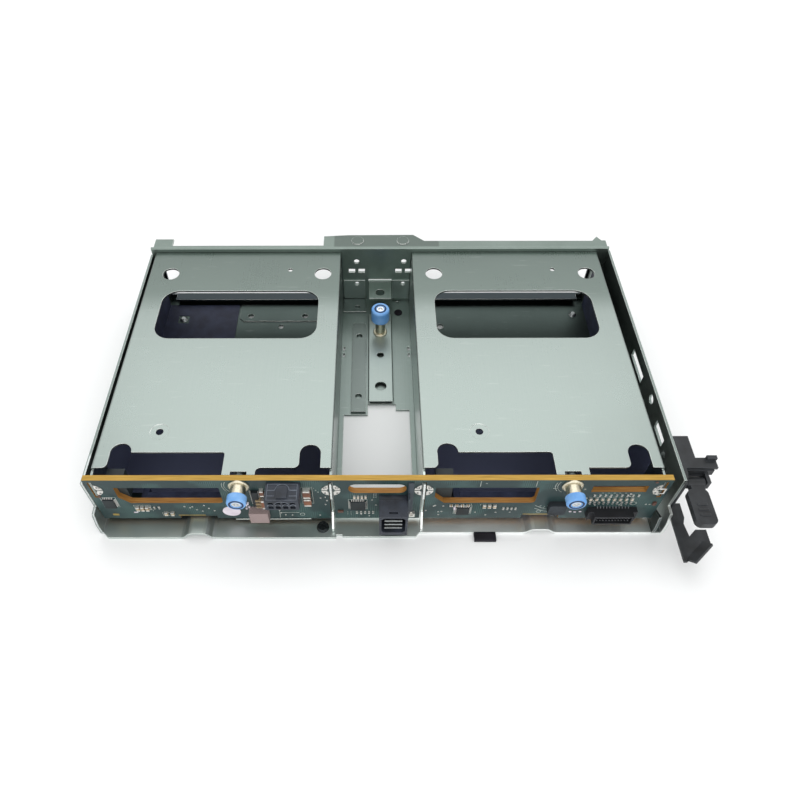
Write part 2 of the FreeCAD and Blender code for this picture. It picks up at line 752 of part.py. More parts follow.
def make_bay_films():
    """Insulating film on the bay floors, turned up both sides and longer on the outer side.

    In the left bay a strip of it runs on to the rear, cut away round the floor rivet.
    """
    thick = 0.3
    front = 16.0
    middle = 84.0
    rear = 150.0
    left = D["cover_sheet"]
    right = D["bay_wide"] - left
    narrow = D["bay_wide"] - 63.8
    strip = [(right, middle), (narrow, middle), (narrow, rear), (left, rear)]
    plain = [(right, middle), (left, middle)]
    left_bay = ("left_bay_film", LEFT_BAY_X, strip, rear, middle)
    right_bay = ("right_bay_film", RIGHT_BAY_X, plain, middle, rear)
    for label, bay_x, behind, left_end, right_end in (left_bay, right_bay):
        body = new_body(label, bay_x)
        floor = new_sketch(body, "XY", FLOOR)
        polygon(floor, [(left, front), (right, front)] + behind)
        pad(body, floor, thick)
        for side, end in [(left, left_end), (right - thick, right_end)]:
            turn = new_sketch(body, "YZ", side)
            rectangle(turn, front, end, FLOOR, TOP - 5)
            pad(body, turn, thick)
        if label == "left_bay_film":
            rivet_gap = new_sketch(body, "XY", FLOOR)
            rectangle(rivet_gap, 8.2, 14.6, 134.3, 140.7)
            pocket(body, rivet_gap, FLOOR, reverse=True)


# ---------------------------------------------------------------------------
# Backplane board and what is soldered to it
# ---------------------------------------------------------------------------


def make_board():
    body = new_body("backplane_board")
    board = new_sketch(body, "XZ")
    rectangle(board, -HALF_BOARD, HALF_BOARD, D["board_rise"], BOARD_TOP)
    pad(body, board, D["board_thick"], reverse=True)

    half_slot = D["wall_slot"] / 2
    inner_wall = HALF_CHANNEL + D["cover_sheet"] / 2
    outer_wall = HALF_CHANNEL + D["bay_wide"] - D["cover_sheet"] / 2
    slots = new_sketch(body, "XZ")
    for centre in (-inner_wall, inner_wall):
        rectangle(slots, centre - half_slot, centre + half_slot, D["board_rise"] - 1, WALL_TAB_HIGH + 0.2)
    for centre in (-outer_wall, outer_wall):
        low = WALL_TAB_LOW - 0.2
        rectangle(slots, centre - half_slot, centre + half_slot, low, WALL_TAB_HIGH + 0.2)
    pocket(body, slots)

    notches = new_sketch(body, "XZ")
    half_notch = D["hump_top_wide"] / 2 + D["hump_slope"] + 0.6
    for centre, rise in [(HUMP_LEFT_X, 2.2), (HUMP_RIGHT_X, 3.0)]:
        low = D["board_rise"]
        rectangle(notches, centre - half_notch, centre + half_notch, low - 1, low + rise)
    pocket(body, notches)

    # long cooling openings: each drive opening has one corner cut off low down
    openings = new_sketch(body, "XZ")
    low = TOP - 19.2
    high = TOP - 6.0
    left_opening = (LEFT_BAY_X + 9.9, LEFT_TAB_X - 9.3)
    right_opening = (RIGHT_BAY_X + 5.8, RIGHT_TAB_X - 14.3)
    for start, end in (left_opening, right_opening):
        corner = [(start, low + 5.0), (start + 4.5, low)]
        polygon(openings, corner + [(end, low), (end, high), (start, high)])
    rectangle(openings, RIGHT_TAB_X + 9.4, RIGHT_END - 7.4, TOP - 9.7, TOP - 4.6)
    pocket(body, openings)
    middle = new_sketch(body, "XZ")
    half_middle = HALF_CHANNEL - 7.3
    rectangle(middle, -half_middle, half_middle, TOP - 10.4, TOP - 3.1)
    pocket(body, middle)

    def lies_through(first, second):
        return near(first.x, second.x) and near(first.z, second.z)

    def middle_corner(first, second, middle_point):
        return lies_through(first, second) and near(abs(middle_point.x), half_middle.value)

    def low_corner(first, second, middle_point):
        ends = [left_opening[1].value, right_opening[1].value]
        at_end = any(near(middle_point.x, end) for end in ends)
        return lies_through(first, second) and at_end and near(middle_point.z, low.value)

    round_edges(body, 3.5, middle_corner)
    round_edges(body, 1.8, low_corner)

    holes = new_sketch(body, "XZ")
    circle(holes, LEFT_TAB_X, SCREW_Z, 3.4)
    circle(holes, RIGHT_TAB_X, SCREW_Z, 3.4)
    pocket(body, holes)
    return body


def make_drive_connector(label, bay_x):
    """Drive socket on the bay side: a bar with a keyed slot between two guide horns."""
    back = D["board_thick"]
    x0 = bay_x + 19.0
    bar = block(f"{label}_bar", x0, x0 + 42.0, back, back + 6.6, 7.0, 13.0)
    left_horn = block(f"{label}_horn_left", x0 - 3.0, x0, back, back + 9.6, 7.8, 12.2)
    right_horn = block(f"{label}_horn_right", x0 + 42.0, x0 + 45.0, back, back + 9.6, 7.8, 12.2)
    power_slot = block(f"{label}_power_slot", x0 + 3, x0 + 21, back + 1.6, back + 8, 9.2, 11.2)
    data_slot = block(f"{label}_data_slot", x0 + 23, x0 + 39, back + 1.6, back + 8, 9.2, 11.2)
    body = fused(f"{label}_body", [bar, left_horn, right_horn])
    keep(cut(label, body, [power_slot, data_slot]), label)


def make_guide_sockets():
    """Round locating sockets for the drive carriers, seen through the board's openings."""
    sockets = []
    for side, bay in [("left", LEFT_BAY_X), ("right", RIGHT_BAY_X)]:
        centre = bay + 9.9
        plate = block(f"guide_{side}", centre - 4, centre + 4, D["board_thick"], 9, TOP - 19, TOP - 4)
        bore = rod(f"guide_bore_{side}", "Y", centre + 1.6, 0, TOP - 8.4, 4.6, 12)
        sockets.append(cut(f"guide_cut_{side}", plate, [bore]))
    group("guide_sockets", sockets)


def make_power_connector():
    """Eight-way power header, two rows of four square cavities, latch rib on top."""
    x0 = -HALF_CHANNEL - 29.0
    wide = 15.0
    low = TOP - 8.3
    high = TOP - 1.3
    deep = 9.9
    shell = block("power_shell", x0, x0 + wide, -deep, 0, low, high)
    rib = block("power_rib", x0 + 5.2, x0 + 9.8, -deep + 1.4, -2.5, high, high + 0.9)
    cavities = []
    pins = []
    for column in range(4):
        for row in range(2):
            cx = x0 + wide / 2 + (column - 1.5) * 3.2
            cz = low + 3.5 + (row - 0.5) * 3.0
            name = f"{column}_{row}"
            hole = (cx - 1.15, cx + 1.15, -deep - 1, -2, cz - 1.15, cz + 1.15)
            cavities.append(block(f"power_cavity_{name}", *hole))
            pin = (cx - 0.4, cx + 0.4, -deep + 1.5, -2, cz - 0.4, cz + 0.4)
            pins.append(block(f"power_pin_{name}", *pin))
    keep(cut("power_connector", fused("power_body", [shell, rib]), cavities), "power_connector")
    group("power_pins", pins)


def make_cable_connector():
    """Deep cable socket in the channel, its mouth facing out, with a foot and a guard."""
    x0 = HALF_CHANNEL - 19.6
    x1 = HALF_CHANNEL - 6.8
    low = 10.4
    high = TOP - 11.2
    deep = 12.0
    body = new_body("cable_connector")
    side = new_sketch(body, "YZ", x0)
    slope = [(-3.4, high), (-3.4, high - 0.9), (0, high - 0.9)]
    polygon(side, [(0, low), (-deep, low), (-deep, high)] + slope)
    pad(body, side, x1 - x0)
    mouth = new_sketch(body, "XZ", deep)
    left = x0 + 1.0
    right = x1 - 1.0
    inner_left = left + 1.2
    inner_right = right - 1.2
    below = [(left, low + 3.6), (inner_left, low + 2.2), (inner_right, low + 2.2), (right, low + 3.6)]
    above = [(right, high - 2.6), (inner_right, high - 1.2), (inner_left, high - 1.2), (left, high - 2.6)]
    polygon(mouth, below + above)
    pocket(body, mouth, 9.0)
    latch_slot = new_sketch(body, "XY", high)
    middle = (x0 + x1) / 2
    rectangle(latch_slot, middle - 2.0, middle + 2.0, -deep + 1.6, -deep + 2.7)
    pocket(body, latch_slot, 1.0)

    blades = []
    for number in range(3):
        blade_z = low + 4.6 + number * 3.2
        blade = (left + 1.4, right - 1.4, -deep + 0.8, -deep + 9, blade_z, blade_z + 0.9)
        blades.append(block(f"blade_{number}", *blade))
    group("connector_blades", blades)
    guard_plate = block("guard_plate", x1 + 0.2, HALF_CHANNEL - 4.1, -0.8, 0, 12.0, TOP - 1.2)
    guard_rib = block("guard_rib", x1 + 0.2, x1 + 1.0, -4.5, -0.8, 12.0, TOP - 9)
    keep(fused("connector_guard", [guard_plate, guard_rib]), "connector_guard")
    clip_foot = block("clip_foot", x1 + 0.4, HALF_CHANNEL - 2.8, -1.8, 0, 8.6, 11.4)
    clip_notch = block("clip_notch", x1 + 1.8, HALF_CHANNEL - 3.8, -3, -0.7, 9.6, 12)
    keep(cut("board_clip", clip_foot, [clip_notch]), "board_clip")


def make_pin_connector():
    """Shrouded signal header with two rows of fine pins."""
    x0 = RIGHT_END - 28.0
    x1 = RIGHT_END - 9.8
    low = 8.4
    high = 15.0
    deep = 5.6
    shell = block("header_shell", x0, x1, -deep, 0, low, high)
    mouth = block("header_mouth", x0 + 0.8, x1 - 0.8, -deep - 1, -1.4, low + 0.8, high - 0.8)
    step_left = block("header_step_left", x0 - 2.2, x0, -3.0, 0, low, high)
    step_right = block("header_step_right", x1, x1 + 2.2, -3.0, 0, low, high)
    body = fused("header_body", [shell, step_left, step_right])
    keep(cut("pin_connector", body, [mouth]), "pin_connector")
    pins = []
    for column in range(11):
        for row in range(2):
            px = x0 + 1.7 + column * 1.43
            pz = low + 2.2 + row * 2.0
            name = f"header_pin_{column}_{row}"
            pins.append(block(name, px, px + 0.5, -deep + 0.6, -1.4, pz, pz + 0.5))
    group("connector_pins", pins)


def chip_row(name, x, z, count, pitch, wide, high, deep):
    """A row of like chips on the board's bare face."""
    row = []
    for number in range(count):
        left = x + number * pitch
        row.append(block(f"{name}_{number}", left, left + wide, -deep, 0, z, z + high))
    return row


def make_small_parts():
    beside = -HALF_CHANNEL
    coil = block("coil_core", beside - 39.2, beside - 30.4, -4.0, 0, 7.0, 15.4)
    keep(coil, "square_coil")
    choke = new_body("round_choke")
    outline = new_sketch(choke, "XZ")
    rectangle(outline, RIGHT_TAB_X - 7.7, RIGHT_TAB_X + 0.3, 12.0, 20.0)
    pad(choke, outline, 2.8)

    def upright(first, second, middle):
        return near(first.x, second.x) and near(first.z, second.z)

    round_edges(choke, 1.4, upright)

    in_left = LEFT_BAY_X
    in_right = RIGHT_BAY_X
    logic = [block("logic_tall", beside - 36.6, beside - 33.6, -1.6, 0, 18.0, 30.0)]
    logic.append(block("logic_left", in_left + 2.4, in_left + 7.4, -1.4, 0, 16.0, 23.0))
    logic.append(block("logic_mid", -12.5, -5.5, -1.2, 0, 14.0, 21.0))
    logic.append(block("logic_right", in_right + 16.6, in_right + 22.6, -1.2, 0, 9.4, 15.4))
    group("logic_chips", logic)

    tall = chip_row("tantalum", beside - 13.2, 26.0, 1, 4, 3.4, 6.0, 2.0)
    tall += chip_row("tantalum_low", beside - 13.2, 19.0, 1, 4, 3.4, 5.8, 2.0)
    tall += chip_row("bulk", beside - 32.6, 17.2, 1, 4, 2.6, 7.2, 2.4)
    tall += chip_row("bulk_low", beside - 32.6, 27.4, 1, 4, 1.8, 4.2, 1.8)
    group("tantalum_capacitors", tall)

    ceramic = chip_row("cap_left", in_left + 15.9, 13.0, 3, 2.2, 1.5, 3.2, 1.2)
    ceramic += chip_row("cap_frame", in_left + 27.9, 8.4, 2, 3.0, 1.6, 2.4, 1.0)
    ceramic += chip_row("cap_mid", -11.0, 23.6, 4, 1.7, 1.0, 2.0, 0.8)
    ceramic += chip_row("cap_right", in_right + 13.2, 16.4, 4, 2.6, 1.4, 0.9, 0.8)
    ceramic += chip_row("cap_bay", in_right + 28.6, 15.0, 3, 2.4, 1.5, 2.2, 0.9)
    ceramic += chip_row("cap_end", RIGHT_TAB_X + 10.1, 21.6, 8, 2.7, 1.2, 1.7, 0.8)
    group("chip_capacitors", ceramic)

    resistor = chip_row("res_left", in_left + 21.9, 14.0, 3, 2.1, 0.8, 1.6, 0.45)
    resistor += chip_row("res_mid", -10.0, 9.6, 5, 1.9, 0.9, 1.7, 0.45)
    resistor += chip_row("res_power", beside - 26.1, 17.0, 5, 1.8, 0.8, 1.5, 0.45)
    resistor += chip_row("res_bay", in_right + 38.1, 13.0, 4, 1.9, 0.8, 1.6, 0.45)
    resistor += chip_row("res_end", RIGHT_TAB_X + 10.7, 18.2, 10, 2.1, 0.8, 1.5, 0.45)
    resistor += chip_row("res_top", RIGHT_TAB_X + 11.3, 24.8, 9, 2.5, 0.8, 1.4, 0.45)
    group("chip_resistors", resistor)

    keep(rod("label_disc", "Y", LEFT_TAB_X - 6.6, -0.3, 11.4, 8.4, 0.3), "round_label")


def make_ground_pads():
    """Plated rings round the four wall tabs, quartered; the outer two keep only one half."""
    inner_wall = HALF_CHANNEL + D["cover_sheet"] / 2
    outer_wall = HALF_CHANNEL + D["bay_wide"] - D["cover_sheet"] / 2
    centre_z = (WALL_TAB_LOW + WALL_TAB_HIGH) / 2
    half_slot = D["wall_slot"] / 2 + 0.2
    halves = [(-outer_wall, 1), (-inner_wall, -1), (-inner_wall, 1)]
    halves += [(inner_wall, -1), (inner_wall, 1), (outer_wall, -1)]
    pads = []
    for number, (centre, side) in enumerate(halves):
        name = f"ring_{number}"
        disc = rod(f"{name}_disc", "Y", centre, -0.25, centre_z, 8.6, 0.25)
        bore = rod(f"{name}_bore", "Y", centre, -1, centre_z, 3.6, 2)
        start = centre - 6 if side > 0 else centre - half_slot
        end = centre + half_slot if side > 0 else centre + 6
        away = block(f"{name}_away", start, end, -1, 1, centre_z - 6, centre_z + 6)
        slit = block(f"{name}_slit", centre - 6, centre + 6, -1, 1, centre_z - 0.35, centre_z + 0.35)
        pads.append(cut(name, disc, [bore, away, slit]))
    group("ground_pads", pads)


# ---------------------------------------------------------------------------
# Captive screws: ferrule, spring, bushing, screw, knob and colour ring
# ---------------------------------------------------------------------------

BORE = 2.35
CAP = 2.6


def make_spring(label, seat, lying, low, high, turns):
    """Coil of square wire round the shank, swept along a helix."""
    helix = doc.addObject("Part::Helix", f"{label}_path")
    helix.Pitch = (high - low) / turns
    helix.Height = high - low
    helix.Radius = 1.92
    wire = doc.addObject("Part::RegularPolygon", f"{label}_wire")
    wire.Polygon = 4
    wire.Circumradius = 0.3
    wire.Placement = FreeCAD.Placement(Vector(1.92, 0, 0), FreeCAD.Rotation(Vector(1, 0, 0), 90))
    coil = doc.addObject("Part::Sweep", label)
    coil.Sections = [wire]
    coil.Spine = (helix, ["Edge1"])
    coil.Solid = True
    coil.Frenet = True
    keep(coil, label)
    if lying:
        coil.Placement.Rotation = FreeCAD.Rotation(Vector(1, 0, 0), 90)
        place(coil, seat[0], seat[1] - low, seat[2])
    else:
        place(coil, seat[0], seat[1], seat[2] + low)


def make_captive_screw(side, seat, lying, sizes, room, reach, bush_low):
    """One captive screw; heights are measured out from the face its ferrule sits on.

    room is the space the knob leaves above the barrel, reach how far the screw's tip
    stands past the seat, bush_low where the sliding bushing sits inside the barrel.
    """
    barrel, barrel_round, knob_round, knob_long = sizes
    knob = as_size(knob_round) / 2
    shank = D["shank_round"] / 2
    outer = barrel_round / 2
    ceiling = barrel + room
    floor = ceiling + 1.1
    crown = ceiling + CAP
    skirt = crown - knob_long

    flange = [(1.7, 0), (outer + 1.2, 0), (outer + 1.2, 0.5), (outer + 0.6, 0.9), (outer, 0.9)]
    tube = [(outer, barrel), (BORE, barrel), (BORE, 0.7), (1.7, 0.7)]
    turned(f"{side}_screw_ferrule", flange + tube, seat, lying)

    sleeve = [(shank + 0.05, bush_low), (BORE - 0.05, bush_low), (BORE - 0.05, bush_low + 1.2)]
    turned(f"{side}_screw_bushing", sleeve + [(shank + 0.05, bush_low + 1.2)], seat, lying)

    point = [(0, -reach), (shank - 0.5, -reach), (shank, 0.5 - reach), (shank, floor)]
    head = [(2.1, floor), (2.1, crown - 0.2), (1.2, crown - 0.2), (1.2, crown - 1.0), (0, crown - 1.0)]
    turned(f"{side}_screw", point + head, seat, lying)

    cup = outer + 0.25
    inside = [(shank + 0.05, ceiling), (cup, ceiling), (cup, skirt), (knob, skirt)]
    rim = [(knob, crown - 0.7), (knob - 0.5, crown), (3.4, crown), (3.4, crown - 0.3)]
    socket = [(2.6, crown - 0.3), (2.6, crown), (2.15, crown), (2.15, floor), (shank + 0.05, floor)]
    turned(f"{side}_screw_knob", inside + rim + socket, seat, lying)
    ring = [(2.6, crown - 0.3), (3.4, crown - 0.3), (3.4, crown + 0.1), (2.6, crown + 0.1)]
    turned(f"{side}_knob_ring", ring, seat, lying)


def make_captive_screws():
    for side, seat_x in [("left", LEFT_TAB_X), ("right", RIGHT_TAB_X)]:
        seat = (seat_x, 0, SCREW_Z)
        sizes = (D["barrel_long"], D["barrel_round"], D["knob_round"], D["knob_long"])
        make_captive_screw(side, seat, True, sizes, room=0.3, reach=7.4, bush_low=2.4)
        make_spring(f"{side}_screw_spring", seat, True, 1.0, 2.1, 1.5)
    tall_seat = (TALL_X, TALL_Y, BRACKET_TOP)
    tall_round = (D["tall_barrel_round"], D["tall_knob_round"])
    tall_sizes = (D["tall_barrel"], *tall_round, D["tall_knob_long"])
    make_captive_screw("centre", tall_seat, False, tall_sizes, room=3.4, reach=3.3, bush_low=6.6)
    make_spring("centre_screw_spring", tall_seat, False, 1.0, 6.3, 4.0)


# ---------------------------------------------------------------------------
# Latch on the right wall
# ---------------------------------------------------------------------------

PIN_Y = 2.2
PIN_Z = TOP - 5.7
PLATE = OUT_RIGHT + 1.5
LEVER_X = OUT_RIGHT + 0.5


def make_latch_bracket():
    """Plate on the wall with a shelf above, a pivot ear and a hooked arm below."""
    body = new_body("latch_bracket_body")
    NODES.remove(body)
    shelf_low = TOP - 1.5
    plate = new_sketch(body, "YZ", OUT_RIGHT)
    corner = [(0, TOP - 3.6), (3.8, TOP)]
    polygon(plate, [(0, 11.8), (D["latch_deep"], 11.8), (D["latch_deep"], TOP)] + corner[::-1])
    pad(body, plate, 1.5)
    shelf = new_sketch(body, "XY", shelf_low)
    shelf_out = OUT_RIGHT + D["shelf_wide"]
    ledge_out = OUT_RIGHT + D["ledge_wide"]
    ledge = [(OUT_RIGHT, 6.6), (ledge_out, 6.6), (ledge_out, 12), (shelf_out, 12)]
    polygon(shelf, ledge + [(shelf_out, D["latch_deep"]), (OUT_RIGHT, D["latch_deep"])])
    pad(body, shelf, 1.5)
    post = new_sketch(body, "XY", TOP)
    rectangle(post, ledge_out - 4.4, ledge_out, 10.2, 12)
    pad(body, post, 2.0)
    step = new_sketch(body, "XY", TOP - 5.0)
    rectangle(step, PLATE - 0.5, ledge_out - 1.4, 6.0, 11)
    pad(body, step, 3.6)
    lower_step = new_sketch(body, "XY", TOP - 7.4)
    rectangle(lower_step, PLATE - 0.5, ledge_out - 4.0, 5.4, 9)
    pad(body, lower_step, 2.6)
    ear = new_sketch(body, "YZ", OUT_RIGHT + 10.2)
    rectangle(ear, 0.4, 7.0, TOP - 7.6, TOP - 2.6)
    pad(body, ear, 1.6)

    # hooked arm: a flat plate that runs out past the apron, its free corner cut off
    arm = new_sketch(body, "XY", 11.8)
    near_edge = [(OUT_RIGHT, 3), (OUT_RIGHT, -26.6), (OUT_RIGHT + 1.6, -26.6)]
    free_end = [(OUT_RIGHT + 10.6, -18.6), (OUT_RIGHT + 14.4, -18.6), (OUT_RIGHT + 14.4, -10.8)]
    hook = [(OUT_RIGHT + 9.4, -10.8), (OUT_RIGHT + 5.8, -14.2), (OUT_RIGHT + 5.0, -7.8)]
    polygon(arm, near_edge + free_end + hook + [(OUT_RIGHT + 6.2, -4.6), (OUT_RIGHT + 6.2, 3)])
    pad(body, arm, 1.2)
    pin_hole = new_sketch(body, "YZ", OUT_RIGHT + 12.5)
    circle(pin_hole, PIN_Y, PIN_Z, 2.04)
    pocket(body, pin_hole, 14)

    # lip along the cut corner, sloping up and out
    lip = doc.addObject("Part::Box", "latch_lip")
    lip.Length = 13.2
    lip.Width = 4.8
    lip.Height = 1.2
    lip.Placement.Rotation = FreeCAD.Rotation(41.5, 0, 0) * FreeCAD.Rotation(0, 0, -37)
    place(lip, OUT_RIGHT + 4.2, -28.6, 14.9)
    keep(fused("latch_bracket", [body, lip]), "latch_bracket")


def make_latch_lever():
    """Finger paddle on a hub, with plain grip bars across it."""
    low = PIN_Z - 1.7
    paddle = new_body("latch_paddle")
    NODES.remove(paddle)
    back = -1.8
    end = back - D["lever_long"]
    outline = new_sketch(paddle, "XY", low)
    rectangle(outline, LEVER_X, LEVER_X + D["lever_wide"], end, back)
    pad(paddle, outline, D["lever_thick"])

    def upright(first, second, middle):
        return near(first.x, second.x) and near(first.y, second.y)

    round_edges(paddle, 2.6, upright)
    high = PIN_Z + 1.7
    neck = block("latch_neck", LEVER_X + 2.4, LEVER_X + 8.4, back - 0.6, 1.0, low, high)
    hub = rod("latch_hub", "X", LEVER_X + 1.5, PIN_Y, PIN_Z, 5.0, 7.7)
    bars = []
    for number in range(3):
        bar_y = end + 4.0 + number * 2.6
        x0 = LEVER_X + 2.4
        bars.append(block(f"grip_bar_{number}", x0, x0 + 4.4, bar_y, bar_y + 1.0, high - 0.2, high + 0.4))
    bore = rod("latch_bore", "X", LEVER_X, PIN_Y, PIN_Z, 2.1, 12)
    lever = fused("latch_lever_body", [paddle, neck, hub] + bars)
    keep(cut("latch_lever", lever, [bore]), "latch_lever")
    keep(rod("pivot", "X", OUT_RIGHT + 0.2, PIN_Y, PIN_Z, 2.0, 12.0), "latch_pin")


# ---------------------------------------------------------------------------
# Loose hardware
# ---------------------------------------------------------------------------


def make_hardware():
    edge_x = RIGHT_BAY_X + 25.6
    front = -D["apron_right"]
    keep(block("bumper", edge_x, edge_x + 10.2, front - 4.4, front, 0, FLOOR + 0.7), "edge_bumper")

    domes = []
    spots = [(LEFT_BAY_X + 11.4, 137.5), (RIGHT_END - 8.6, 141.3)]
    for number, (x, y) in enumerate(spots):
        domes.append(cone(f"floor_rivet_{number}", "Z", x, y, FLOOR, 4.6, 2.4, 1.5))
    for number, (y, z) in enumerate([(21.5, TOP - 12), (8.0, TOP - 21)]):
        domes.append(cone(f"wall_rivet_{number}", "X", WALL_RIGHT - 1.2, y, z, 2.4, 4.6, 1.2))
    group("rivets", domes)

    plug_head = rod("plug_head", "Z", *PLUG_SPOT, FLOOR, 4.8, 0.5)
    plug_stem = rod("plug_stem", "Z", *PLUG_SPOT, 0.3, PLUG_HOLE - 0.6, FLOOR)
    plug_cross = []
    for name, across, along in [("wide", 1.9, 0.4), ("long", 0.4, 1.9)]:
        x, y = PLUG_SPOT
        groove = (x - across, x + across, y - along, y + along)
        plug_cross.append(block(f"plug_groove_{name}", *groove, FLOOR + 0.25, FLOOR + 1))
    keep(cut("floor_plug", fused("plug_body", [plug_head, plug_stem]), plug_cross), "floor_plug")

    screw_x = -HALF_CHANNEL - 5.6
    head = cone("screw_head", "Z", screw_x, -3.2, FLOOR, 6.0, 4.8, 1.7)
    socket = rod("screw_socket", "Z", screw_x, -3.2, FLOOR + 0.8, 2.2, 2)
    keep(cut("floor_screw", head, [socket]), "floor_screw")

    nuts = []
    for side, bay in [("left", LEFT_BAY_X), ("right", RIGHT_BAY_X)]:
        centre = bay + TAB_X
        behind = COVER_TAB_Y + D["cover_sheet"]
        barrel = rod(f"nut_barrel_{side}", "Y", centre, behind, SCREW_Z, 6.2, 2.4)
        bore = rod(f"nut_bore_{side}", "Y", centre, behind - 1, SCREW_Z, 3.2, 5)
        nuts.append(cut(f"nut_{side}", barrel, [bore]))
    group("lug_nuts", nuts)


# ---------------------------------------------------------------------------
# Build, check and write
# ---------------------------------------------------------------------------

make_tray()
make_rear_panel()
make_bay_cover("left_bay_cover", LEFT_BAY_X, gusset_on_left=False)
make_bay_cover("right_bay_cover", RIGHT_BAY_X, gusset_on_left=True)
make_channel_bracket()
make_channel_rail()
make_channel_plates()
make_bay_films()
make_board()
make_drive_connector("left_drive_connector", LEFT_BAY_X)
make_drive_connector("right_drive_connector", RIGHT_BAY_X)
make_guide_sockets()
make_power_connector()
make_cable_connector()
make_pin_connector()
make_small_parts()
make_ground_pads()
make_captive_screws()
make_latch_bracket()
make_latch_lever()
make_hardware()
doc.recompute()

for thing in doc.Objects:
    if "Invalid" in thing.State or "Error" in thing.State:
        raise RuntimeError(f"{thing.Name} failed: {thing.State}")

for node in NODES:
    shape = node.Shape
    if shape.isNull() or not shape.isValid() or not shape.Solids:
        raise RuntimeError(f"{node.Label} has no valid solid")
    shape.exportStep(f"parts/{node.Label}.step")
    box = shape.BoundBox
    print(f"{node.Label:24s} solids {len(shape.Solids):3d} volume {shape.Volume:10.1f} mm3, "
          f"x {box.XMin:.1f}..{box.XMax:.1f} y {box.YMin:.1f}..{box.YMax:.1f} "
          f"z {box.ZMin:.1f}..{box.ZMax:.1f}")
print(f"{len(NODES)} nodes written")
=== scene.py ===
# %% [markdown]
# A server's drive cage seen from its board side. Two sheet-steel covers stand side by side in a
# folded tray, a green backplane board closes the front, and blue-knobbed captive screws hold it.
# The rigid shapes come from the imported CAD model. This script gives them their finishes, adds the
# small things that are too fine for the solids, and sets up a plain studio.

# %% Load the frame
import math

import bmesh
import bpy
from mathutils import Euler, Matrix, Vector


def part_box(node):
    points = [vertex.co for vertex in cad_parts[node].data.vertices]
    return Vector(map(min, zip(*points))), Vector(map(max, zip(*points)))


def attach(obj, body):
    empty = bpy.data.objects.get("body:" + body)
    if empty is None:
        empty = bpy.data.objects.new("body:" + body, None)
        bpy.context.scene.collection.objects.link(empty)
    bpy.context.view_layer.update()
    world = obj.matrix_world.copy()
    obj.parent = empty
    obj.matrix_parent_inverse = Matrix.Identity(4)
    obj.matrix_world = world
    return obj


MM = 0.001
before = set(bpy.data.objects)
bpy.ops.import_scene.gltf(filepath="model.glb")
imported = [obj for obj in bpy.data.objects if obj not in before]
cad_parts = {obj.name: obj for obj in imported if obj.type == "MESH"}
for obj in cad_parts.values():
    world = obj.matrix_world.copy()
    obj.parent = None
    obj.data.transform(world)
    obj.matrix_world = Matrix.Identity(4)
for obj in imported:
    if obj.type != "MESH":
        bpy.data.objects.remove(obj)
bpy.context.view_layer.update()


# %% [markdown]
# Every colour below is written the way a paint chart would give it, as an sRGB hex value.
# Shaders work in linear light, so one function does the change. Another adds a node with its
# settings and its incoming links, which keeps each material short enough to read.

# %% Colour and node helpers
def colour(hex_value):
    """Linear RGBA of an sRGB hex string such as '#8fa19a'."""
    parts = [int(hex_value[i:i + 2], 16) / 255 for i in (1, 3, 5)]
    linear = [p / 12.92 if p <= 0.04045 else ((p + 0.055) / 1.055) ** 2.4 for p in parts]
    return (*linear, 1.0)


def add(tree, kind, settings=None, links=None):
    """Adds one node. Settings name properties, sockets or colour stops; links name its inputs."""
    node = tree.nodes.new(kind)
    for key, value in (settings or {}).items():
        if key == "stops":
            marks = node.color_ramp.elements
            while len(marks) < len(value):
                marks.new(1.0)
            for mark, (position, tint) in zip(marks, value):
                mark.position, mark.color = position, colour(tint)
        elif isinstance(key, str) and hasattr(node, key):
            setattr(node, key, value)
        else:
            node.inputs[key].default_value = value
    for key, source in (links or {}).items():
        tree.links.new(source, node.inputs[key])
    return node


def start_material(name, metallic, roughness, specular=0.5):
    """A new material, its tree and shader, and the piece's own coordinates."""
    material = bpy.data.materials.new(name)
    material.use_nodes = True
    tree = material.node_tree
    shader = tree.nodes["Principled BSDF"]
    shader.inputs["Metallic"].default_value = metallic
    shader.inputs["Roughness"].default_value = roughness
    shader.inputs["Specular IOR Level"].default_value = specular
    place = add(tree, "ShaderNodeTexCoord").outputs["Object"]
    return material, tree, shader, place


# %% [markdown]
# A folded part is rarely one even shade. Here most of the differences that belong to a place on
# the part are painted light and shade. A box mask marks such a place: it is 1 inside the box
# and fades to 0 around it, and it multiplies one fade for each side.

# %% Box mask
def box_mask(tree, place, low, high, fade):
    """1 inside the box from low to high, in millimetres, fading to 0 around it.

    The fade is one length, or a tuple with one length for each axis.
    """
    fades = fade if isinstance(fade, tuple) else (fade, fade, fade)
    axes = add(tree, "ShaderNodeSeparateXYZ", links={0: place}).outputs
    mask = None
    for axis, start, end, run in zip(axes, low, high, fades):
        for near, far in ((start, start - run), (end, end + run)):
            ramp = {"interpolation_type": "SMOOTHSTEP",
                    "From Min": far * MM, "From Max": near * MM}
            side = add(tree, "ShaderNodeMapRange", ramp, {"Value": axis}).outputs[0]
            mask = side if mask is None else add(
                tree, "ShaderNodeMath", {"operation": "MULTIPLY"}, {0: mask, 1: side}).outputs[0]
    return mask


# %% [markdown]
# Wear sits on arrises, and on the sheet steel a painted highlight sits there too. A bevel node
# turns the normal near an edge, so where the turned normal disagrees with the true one there is
# an edge. The turned normal also goes on to the shader, so that a sharp solid edge catches a thin
# line of light as a real one does.

# %% Edge wear and painted highlight
def edge_wear_and_highlight(tree, radius, agreement, wear):
    """The turned normal, and a mask from 0 on a face to wear where the normals part, for wear and
    highlight.
    """
    rounded = add(tree, "ShaderNodeBevel", {"samples": 4, "Radius": radius}).outputs[0]
    flat = add(tree, "ShaderNodeNewGeometry")
    agree = add(tree, "ShaderNodeVectorMath", {"operation": "DOT_PRODUCT"},
                {0: rounded, 1: flat.outputs["Normal"]})
    edge = add(tree, "ShaderNodeMapRange",
               {"From Min": 1.0, "From Max": agreement, "To Max": wear},
               {"Value": agree.outputs["Value"]})
    return rounded, edge.outputs[0]
